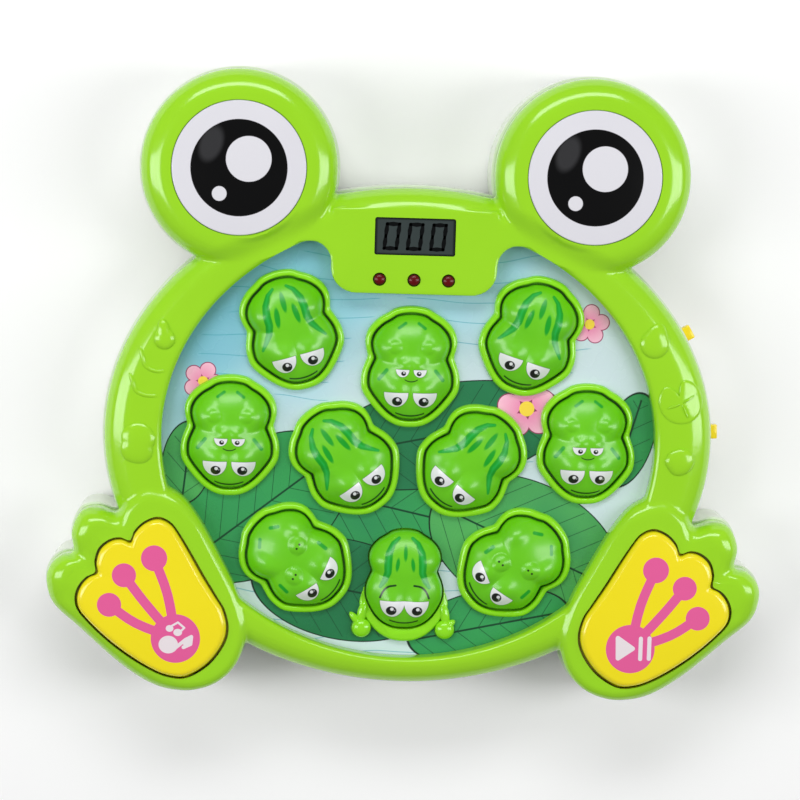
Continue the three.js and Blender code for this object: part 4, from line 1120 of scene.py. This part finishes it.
# %% Pond print
def pond_finish():
    canvas = Canvas("pond_print")
    dx, dy = canvas.x / 102.0, (canvas.y - ring_y) / 91.0
    edge = (dx * dx + dy * dy).work("SQRT")
    drift = canvas.noise(70.0, 2.0, 1.0)
    depth = (edge * 0.9 + drift - 0.7).farthest(0.0)
    canvas.base(canvas.colour_between(tint(164, 214, 230), tint(88, 170, 194), depth))
    shallows = drift * -90.0 + 36.0 + canvas.y * 0.5 - canvas.x * 0.25
    canvas.paint(tint(204, 222, 228), shallows.inside(46.0))
    wave = canvas.y + canvas.noise(60.0, 1.0, 4.0) * 26.0 + canvas.x * 0.05
    line = abs(wave.work("PINGPONG", 9.0) - 4.5) - 0.12
    canvas.paint(tint(60, 160, 180), line.farthest(drift * 30.0 - 15.5).inside(0.5))
    leaves = (
        (-2, -52, 36, 21, -12, 0), (14, -20, 52, 21, 12, 1), (-60, -52, 40, 26, 38, 0),
        (50, -66, 42, 27, -24, 2), (-26, -86, 38, 21, -10, 1), (36, -100, 34, 15, 12, 0),
        (-92, -34, 17, 10, 84, 2), (92, -20, 20, 10, 74, 0),
    )
    greens = (tint(58, 166, 84), tint(26, 104, 60), tint(98, 190, 92))
    for x, y, half_x, half_y, degrees, shade in leaves:
        turn = radians(degrees)
        shape = canvas.oval(x, y, half_x, half_y, turn)
        canvas.paint(tint(10, 40, 26), (shape - 0.45).inside(0.25))
        green = canvas.colour_between(greens[shade], tint(40, 128, 84), canvas.noise(26.0, 1.0, 2.0 + x))
        canvas.paint(green, shape.inside(0.25))
        ax, ay = canvas.x - x, canvas.y - y
        along, across = ax * cos(turn) + ay * sin(turn), ay * cos(turn) - ax * sin(turn)
        rib = abs(across) - 0.4
        veins = abs((abs(across) * 0.9 - along).work("PINGPONG", 9.0) - 4.5) - 0.16
        canvas.paint(tint(12, 66, 40), rib.nearest(veins).farthest(shape + 1.2).inside(0.25))
    for x, y, size, degrees in ((49, -8, 7.5, 10), (-86, 0, 5.0, 40), (74, 28, 5.0, 25), (-40, 12, 4.5, 70)):
        turn = radians(degrees)
        bx, by = canvas.x - x, canvas.y - y
        swing = by.work("ARCTAN2", bx) + turn
        fold = (swing + 20 * pi).work("MODULO", 2 * pi / 5) - pi / 5
        far = (bx * bx + by * by).work("SQRT")
        px, py = far * fold.work("COSINE") - size, far * fold.work("SINE")
        petal = (px * px + py * py).work("SQRT") - size * 0.62
        canvas.paint(tint(150, 40, 92), (petal - 0.4).inside(0.25))
        fade = (far / (size * 1.6)).nearest(1.0)
        blush = canvas.colour_between(tint(232, 120, 168), tint(248, 190, 212), fade)
        canvas.paint(blush, petal.inside(0.25))
        canvas.paint(tint(246, 214, 70), (far - size * 0.42).inside(0.3))
    canvas.gloss(0.22, 0.32, 12.0)
    canvas.texture(canvas.noise(0.6, 2.0, 9.0), 0.006)
    canvas.coat(0.25, 0.15)
    return canvas.finish


sheet_low, sheet_top, sheet_lap = 36.7, 37.2, 4.2
sheet = on_bench(stack([(1, -sheet_lap, sheet_low), (1, -sheet_lap, sheet_top)], opening_at, segments=160),
                 "sheet")
for name, (place, turn) in frogs.items():
    gap = 0.75 if name == "lower_middle" else 1.6
    boolean(sheet, stack([(1, -gap, 35), (1, -gap, 39)], outline_of(name), place, turn, 120))
for place in hand_places.values():
    boolean(sheet, post(4.4, 35, 39, place))
as_piece(sheet, "pond_sheet", pond_finish(), "case", ["print_sheet"])

# %% [markdown]
# The two foot buttons are yellow caps in the shape of a webbed foot. Each is printed with a pink
# footprint and a white sign, notes on one and play and pause on the other. The caps use the same outline as
# their openings, so the gap is even all round, and the prints are drawn by distance like the frogs' paint.

# %% Foot buttons
pink, sign_white = tint(226, 92, 152), tint(232, 222, 226)
palm = (94.6, -106.2)


def footprint(name):
    canvas = moulded(name, tint(243, 226, 24), tint(237, 219, 18), (0.14, 0.24), 40.0)
    x = abs(canvas.x)
    shape = canvas.circle(*palm, 10.2, x)
    for toe, size, bend in (((104.1, -72.8), 5.4, (98.2, -88.0)), ((116.4, -80.2), 5.0, (107.6, -91.4)),
                            ((122.3, -92.7), 5.0, (111.0, -100.2))):
        line = curve_through([palm, bend, toe], 4)
        shape = shape.nearest(canvas.circle(*toe, size, x)).nearest(canvas.strokes(line, 2.0, x))
    canvas.paint(pink, shape.inside(0.2))
    return canvas


def music_finish():
    canvas = footprint("music_footprint")
    x, y = -palm[0], palm[1]
    head = canvas.oval(x - 2.9, y - 2.6, 4.0, 3.7)
    flag = canvas.strokes([(x + 0.4, y - 3.6), (x + 4.2, y - 0.4), (x + 6.6, y + 0.9), (x + 6.3, y - 2.2),
                           (x + 3.4, y - 3.6)], 0.75)
    flag = flag.nearest(canvas.oval(x + 5.0, y - 1.6, 1.9, 1.5, 0.5))
    small = canvas.oval(x - 2.5, y + 4.2, 1.6, 1.4).nearest(canvas.oval(x + 0.9, y + 2.6, 1.8, 1.5))
    beam = canvas.strokes([(x - 2.4, y + 4.8), (x + 0.9, y + 6.8), (x + 3.6, y + 4.6),
                           (x + 1.6, y + 2.6)], 0.42)
    canvas.paint(sign_white, head.nearest(flag).nearest(small).nearest(beam).inside(0.2))
    return canvas.finish


def play_finish():
    canvas = footprint("play_footprint")
    x, y = 94.6, -105.6
    corners = [(x - 5.3, y + 3.9), (x + 1.0, y - 0.4), (x - 5.0, y - 4.6), (x - 5.3, y + 3.9)]
    left, up = canvas.x - (x - 5.2), abs(canvas.y - (y - 0.35))
    middle = (left * -1.0).farthest(up + left * 0.68 - 4.25)
    triangle = canvas.strokes(corners, 0.95).nearest(middle)
    bars = canvas.stroke((x + 4.3, y - 4.7), (x + 4.3, y + 3.9), 0.85).nearest(
        canvas.stroke((x + 7.9, y - 4.5), (x + 7.9, y + 4.1), 0.85))
    canvas.paint(sign_white, triangle.nearest(bars).inside(0.2))
    return canvas.finish


button_low, button_rim, button_top = 41.0, 42.4, 49.7


def button_form(side):
    levels = [(1, wall, 47.4), (1, wall, button_low), (1, -flange_out, button_low),
              (1, -flange_out, button_rim), (1, 0, button_rim), (1, 0, 46.2)]
    levels += round_over(0, 2.6, button_top, 6)
    return stack(levels, button_at[side], button_place[side], segments=200)


for side, word, finish in ((-1, "music_button", music_finish()), (1, "play_button", play_finish())):
    button = on_bench(button_form(side), "button")
    stem = on_bench(post(stem_radius, stem_low, 48.2, on_foot(side, (0.05, -0.1)), 24), "stem")
    join(button, stem)
    as_piece(button, "foot_" + word, finish, word, [word], sharp=40)

# %% [markdown]
# The eyes are flat discs set into the lobes and printed with a black pupil and two white lights, which
# give the look of a big wet eye without any real curvature. A soft grey patch on the upper left of each
# pupil is a painted reflection. A domed eye would be easy to model, but the real disc is flat, so the
# finish carries the whole effect.

# %% Eye discs
def eye_finish(side):
    name = "eye_print_left" if side < 0 else "eye_print_right"
    canvas = blotched(name, tint(220, 219, 225), tint(214, 213, 220), 30.0)
    x, y = eye_place[side][0], eye_place[side][1] + ring_y
    pupil = canvas.circle(x, y, 19.8)
    # Painted reflection: a soft grey oval lightens the upper left of the black pupil.
    painted_reflection = canvas.oval(x - 11.5, y + 9.5, 4.4, 7.2, -0.35).inside(2.4)
    canvas.paint(canvas.colour_between(tint(3, 3, 4), tint(50, 50, 52), painted_reflection), pupil.inside(0.3))
    for right, up, radius in ((3.9, 3.7, 9.3), (-7.8, -10.7, 3.0)):
        canvas.paint(tint(218, 217, 223), canvas.circle(x + right, y + up, radius).inside(0.3))
    canvas.gloss(0.14, 0.2, 10.0)
    canvas.texture(canvas.noise(1.0), 0.004)
    canvas.set("Specular IOR Level", 0.3)
    return canvas.finish


for side, word in ((-1, "left"), (1, "right")):
    disc = stack([(1, 0.3, 49.2), (1, 0, 49.4)] + round_over(0, 0.5, 50.4, 4), round_outline(disc_radius),
                 eye_place[side], segments=160)
    as_piece(on_bench(disc, "disc"), "eye_print_disc_" + word, eye_finish(side), "case", ["eye_disc_" + word],
             sharp=40)

# %% [markdown]
# The display is a dark liquid-crystal panel with three noughts, and each nought is six slanted bars. A
# text object would need a font with such bars, so they are small separate forms on the panel's face,
# which can be slanted and spaced freely.

# %% Display panel and digits
def panel_finish():
    canvas = blotched("crystal_panel", tint(58, 67, 66), tint(48, 57, 57), 12.0)
    edge = (abs(canvas.x) - 15.6).farthest(abs(canvas.y - panel_y) - 6.9)
    canvas.paint(tint(30, 36, 36), (edge * -1.0).inside(0.8))
    canvas.gloss(0.14, 0.2, 6.0)
    canvas.texture(canvas.noise(0.5), 0.004)
    canvas.set("Specular IOR Level", 0.35)
    return canvas.finish


def digit_finish():
    canvas = blotched("crystal_bars", tint(7, 9, 10), tint(12, 14, 15), 2.0)
    canvas.gloss(0.3, 0.4, 2.0)
    canvas.set("Specular IOR Level", 0.08)
    return canvas.finish


panel_y, glass_top, bar_height = display_y + ring_y, 45.0, 0.06
panel = block((-18.05, panel_y - 9.1, 40.8), (18.05, panel_y + 9.1, 43.0))
block((-16.35, panel_y - 7.4, 42.8), (16.35, panel_y + 7.4, glass_top), panel)
as_piece(on_bench(panel, "panel"), "crystal_display", panel_finish(), "case", ["display_panel"])
bars = bmesh.new()
slant = radians(6)
bar_places = [(0, 5.0, False), (0, -5.0, False)] + [(x, y, True) for y in (2.5, -2.5) for x in (-2.5, 2.5)]
for middle in (-9.6, 0, 9.6):
    for x, y, upright in bar_places:
        bar = bmesh.new()
        bmesh.ops.create_circle(bar, cap_ends=True, segments=6, radius=1.0)
        for v in bar.verts:
            along = v.co.x * 2.5 if abs(v.co.x) > 0.9 else v.co.x * 3.7
            wide = v.co.y * 0.92
            v.co = (wide, along, 0) if upright else (along, wide, 0)
            v.co.x += x + (y + v.co.y) * sin(slant) + middle
            v.co.y += y + panel_y
            v.co.z = glass_top
        raise_faces(bar, bar_height)
        lump = bpy.data.meshes.new("bar")
        bar.to_mesh(lump)
        bar.free()
        bars.from_mesh(lump)
        bpy.data.meshes.remove(lump)
as_piece(on_bench(bars, "bars"), "crystal_digits", digit_finish(), "case", ())

# %% Score lamps
def lamp_finish():
    canvas = blotched("red_lamp_lens", tint(112, 6, 12), tint(74, 3, 8), 2.2)
    # Painted shade: the lens is near black below 46.35 mm, where it sits in its hole, to give the dark ring
    # of the shaded gap round it.
    canvas.paint(tint(20, 2, 3), (canvas.z - 46.35).inside(0.5))
    canvas.gloss(0.2, 0.26, 3.0)
    canvas.set("Specular IOR Level", 0.3)
    return canvas.finish


red = lamp_finish()
lens_radius, lens_side, lens_rise = 2.5, 45.6, 1.5
lens_profile = [(2.3, 40.8), (lens_radius, 41.0), (lens_radius, lens_side)]
for step in range(1, 9):
    bend = step / 9 * pi / 2
    lens_profile.append((lens_radius * cos(bend), lens_side + lens_rise * sin(bend)))
lens_profile.append((0, lens_side + lens_rise))
for word, place in lamp_places.items():
    lens = on_bench(turned(lens_profile, place, 40, pole=True), "lens")
    as_piece(lens, "score_lens_" + word, red, "case", ["lamp_" + word], sharp=60)

# %% [markdown]
# Two yellow knobs slide in slots on the right side, one for the sound and one for the power. Each is a
# small ribbed block on a flat neck that runs in the switch behind the wall. It is built at the origin,
# where its edges are easy to measure, and then swung to its slot, because the wall there is curved.

# %% Slide knobs
proud = 4.2
for word, (spot, turn) in stations.items():
    head = block((0.2, -3.0, 15.1), (proud, 3.0, 20.1))
    slider = on_bench(block((-6.1, -2.2, 15.8), (0.4, 2.2, 19.4)), "knob")
    boolean(slider, round_edges(head, list(head.edges), 0.5, 3), "UNION")
    for rise in (-1.7, 0.0, 1.7):
        groove = block((proud - 0.5, rise - 0.28, 15.9), (proud + 1, rise + 0.28, 19.3))
        boolean(slider, groove)
    slider.data.transform(Matrix.Translation((spot[0], spot[1], 0)) @ Matrix.Rotation(turn, 4, "Z"))
    as_piece(slider, "slide_knob_" + word, yellow, word + "_knob", ["switch_knob_" + word])

# %% [markdown]
# The underside is plain and practical: a door over the cells with one captive screw and two tongues, six
# deep screws, and four rubber pads. Each screw has a cross recess for the driver. The sizes of the door
# and the screws are read from the mechanical model, so they fit the holes that were made for them.

# %% Battery door
(x0, y0, z0), (x1, y1, z1) = node_corners("battery_door")
door_y0, door_y1, door_thick, tongue_x = -38.05, 19.85, 2.2, 15.1
door_mesh = block((x0, door_y0, z0), (x1, door_y1, z0 + door_thick))
rims = [e for e in door_mesh.edges if e.verts[0].co.z < z0 + 1 and e.verts[1].co.z < z0 + 1]
door = on_bench(round_edges(door_mesh, rims, 0.5, 3), "door")
boolean(door, block((-6.5, y0, 2.2), (6.5, -37, 5.4)), "UNION")
for x in (-tongue_x, tongue_x):
    boolean(door, block((x - 4, 18.5, 4.0), (x + 4, y1, z1)), "UNION")
for rib in range(5):
    boolean(door, block((-9, 8.0 + rib * 2.2, 1.0), (9, 9.0 + rib * 2.2, 2.45)))
door_screw_place = (0, -42.85 - ring_y)
boolean(door, post(shank_hole, 1, 7, door_screw_place, 24))
boolean(door, post(head_hole, 1, 3.4, door_screw_place, 32))
as_piece(door, "bay_door", pale, "door", ["battery_door"], sharp=32)

# %% Screws
def steel_finish():
    canvas = blotched("zinc_steel", tint(176, 178, 182), tint(140, 142, 148), 1.6, 4.0)
    canvas.gloss(0.25, 0.42, 1.0)
    canvas.texture(canvas.noise(0.25, 3.0, 6.0), 0.01)
    canvas.set("Metallic", 1.0)
    return canvas.finish


def screw_form(head, shank, bottom, neck, top, place):
    """A pan head below and a threaded shank above, as seen from under the case."""
    profile = [(head * 0.7, bottom), (head * 0.94, bottom + 0.3), (head, bottom + 0.9), (head, neck)]
    height, pitch = neck, 1.3
    while height + pitch < top - 0.6:
        profile += [(shank * 0.8, height + 0.15), (shank, height + pitch * 0.5),
                    (shank * 0.8, height + pitch)]
        height += pitch
    return turned(profile + [(0.3, top)], place, 28)


steel = steel_finish()
for node in ["battery_door_screw"] + ["case_screw_" + word for word in screws]:
    (x0, y0, z0), (x1, y1, z1) = node_corners(node)
    head = (x1 - x0) / 2
    shank = 1.5 if head > 1.5 else head * 0.6
    place = ((x0 + x1) / 2, (y0 + y1) / 2 - ring_y)
    screw = on_bench(screw_form(head, shank, z0, z0 + min(2.2, head), z1, place), "screw")
    for turn in (0, pi / 2):
        boolean(screw, block((-head * 0.62, -0.38, z0 - 1), (head * 0.62, 0.38, z0 + 1.2), None, turn,
                             (place[0], place[1] + ring_y)))
    as_piece(screw, "zinc_" + node, steel, "door" if "door" in node else "case", [node], sharp=30)

# %% Rubber pads
def rubber_finish(name, light, deep):
    canvas = blotched(name, light, deep, 3.0, 3.0)
    canvas.gloss(0.6, 0.8, 2.0)
    canvas.texture(canvas.noise(0.4, 4.0, 8.0), 0.05)
    return canvas.finish


black_rubber = rubber_finish("pad_rubber", tint(44, 44, 46), tint(30, 30, 32))
grey_rubber = rubber_finish("dome_rubber", tint(150, 154, 156), tint(128, 132, 136))
pad_profile = [(2.0, 0.55), (3.4, 0.5), (4.0, 0.05), (6.0, 0.0), (6.8, 0.25), (7.0, 0.8), (7.0, 2.6)]
for word, place in pads.items():
    pad = on_bench(turned(pad_profile, place, 48), "pad")
    as_piece(pad, "rubber_pad_" + word, black_rubber, "case", ["pad_" + word], sharp=40)

# %% [markdown]
# Under each stem sits a rubber dome, the spring and switch of the key in one. On the toy it is a thin
# collapsing cone with a flat foot. Here it is a closed cone with a dent in its top, since its underside
# lies on the board.

# %% Rubber domes
def dome_form(place, bottom, top):
    rise = top - bottom
    profile = [(7.0, bottom), (7.0, bottom + 0.9), (5.6, bottom + 0.9), (5.2, bottom + 1.1),
               (3.9, bottom + rise * 0.72), (3.3, bottom + rise * 0.84), (3.2, top - 0.25), (2.9, top),
               (2.2, top), (2.1, top - 0.3)]
    return turned(profile, place, 40)


for name in list(frogs) + ["music_button", "play_button"]:
    low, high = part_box("dome_" + name)
    place = ((low.x + high.x) / 2 / mm, (low.y + high.y) / 2 / mm - ring_y)
    dome = on_bench(dome_form(place, low.z / mm, high.z / mm), "dome")
    as_piece(dome, "key_dome_" + name, grey_rubber, "case", ["dome_" + name], sharp=40)
    place[0] * mm
    (place[1] + ring_y) * mm
    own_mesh(dome)

# %% [markdown]
# The works inside keep their mechanical shapes, which are right as they are, and only get finishes here:
# green circuit boards with copper tracks under the lacquer, printed cell jackets, plated steel contacts,
# a loudspeaker with a paper cone and black switch bodies.

# %% Finishes of the works
def board_finish():
    canvas = blotched("board_green", tint(26, 96, 52), tint(20, 80, 44), 9.0)
    run = canvas.x * 0.7 + canvas.y * 0.7 + canvas.noise(8.0, 0.0) * 12.0
    track = abs(run.work("PINGPONG", 2.0) - 1.0) - 0.28
    canvas.paint(tint(52, 130, 70), track.inside(0.15))
    canvas.gloss(0.3, 0.45)
    canvas.texture(track.inside(0.2), 0.03)
    return canvas.finish


def jacket_finish():
    canvas = blotched("cell_jacket_print", tint(54, 58, 66), tint(40, 44, 52), 6.0)
    canvas.paint(tint(196, 132, 62), (canvas.y * -1.0 + 2.0).inside(0.3))
    canvas.paint(tint(190, 192, 196), (24.4 - abs(canvas.y + 9.1)).inside(0.3))
    canvas.gloss(0.25, 0.35)
    canvas.texture(canvas.noise(0.5), 0.01)
    canvas.set("Metallic", 0.5)
    return canvas.finish


def speaker_finish():
    canvas = blotched("speaker_paper", tint(46, 44, 42), tint(34, 33, 32), 1.2, 4.0)
    ring = abs(canvas.circle(0, speaker_place[1] + ring_y, 16.0)) - 1.6
    canvas.paint(tint(70, 70, 72), ring.inside(0.4))
    canvas.gloss(0.6, 0.8, 1.0)
    canvas.texture(canvas.noise(0.4, 4.0), 0.06)
    return canvas.finish


def switch_finish():
    canvas = blotched("switch_black", tint(34, 34, 36), tint(26, 26, 28), 2.0)
    canvas.gloss(0.4, 0.55)
    canvas.texture(canvas.noise(0.3), 0.02)
    return canvas.finish


works = {
    board_finish(): ["main_board", "foot_board_left", "foot_board_right", "display_board"],
    jacket_finish(): ["cell_1", "cell_2", "cell_3"],
    speaker_finish(): ["loudspeaker"],
    switch_finish(): ["switch_body_volume", "switch_body_power"],
    steel: ["contact_front", "contact_rear"],
}
for finish, nodes in works.items():
    for node in nodes:
        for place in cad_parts[node].material_slots:
            place.material = finish
print("works finished:", sum(len(nodes) for nodes in works.values()))

# %% [markdown]
# The floor is a large pale sheet, and the light is soft: a wide lamp over the head side makes the long
# highlight on the rim, two more fill from the left and the right, and a dim white sky keeps the shadows
# open.

# %% Table and light
def table_and_light():
    floor_form = bmesh.new()
    bmesh.ops.create_grid(floor_form, x_segments=4, y_segments=4, size=1.6)
    floor = on_bench(floor_form, "table_top")
    top = blotched("table_white", tint(250, 250, 250), tint(246, 246, 247), 300.0)
    top.gloss(0.6, 0.75, 60.0)
    floor.data.materials.append(top.finish)
    world = bpy.data.worlds.new("studio_sky")
    world.use_nodes = True
    world.node_tree.nodes["Background"].inputs["Color"].default_value = (1.0, 1.0, 1.0, 1.0)
    world.node_tree.nodes["Background"].inputs["Strength"].default_value = 0.24
    bpy.context.scene.world = world
    for name, spot, size, power in (
        ("head_softbox", (-0.1, 0.95, 1.0), (1.2, 0.35), 8.0),
        ("left_softbox", (-0.95, 0.0, 0.85), (0.4, 1.1), 7.5),
        ("right_softbox", (0.95, 0.05, 0.85), (0.4, 1.1), 7.5),
    ):
        data = bpy.data.lights.new(name, "AREA")
        data.shape = "RECTANGLE"
        data.size, data.size_y, data.energy = size[0], size[1], power
        lamp = bpy.data.objects.new(name, data)
        lamp.location = spot
        lamp.rotation_euler = (Vector((0, 0, 0.03)) - Vector(spot)).to_track_quat("-Z", "Y").to_euler()
        bpy.context.collection.objects.link(lamp)
    bpy.context.scene.view_settings.view_transform = "Standard"


table_and_light()
print("table and lights ready")

# %% [markdown]
# The last step prints that the scene is built.

# %% Finish
print("scene built")
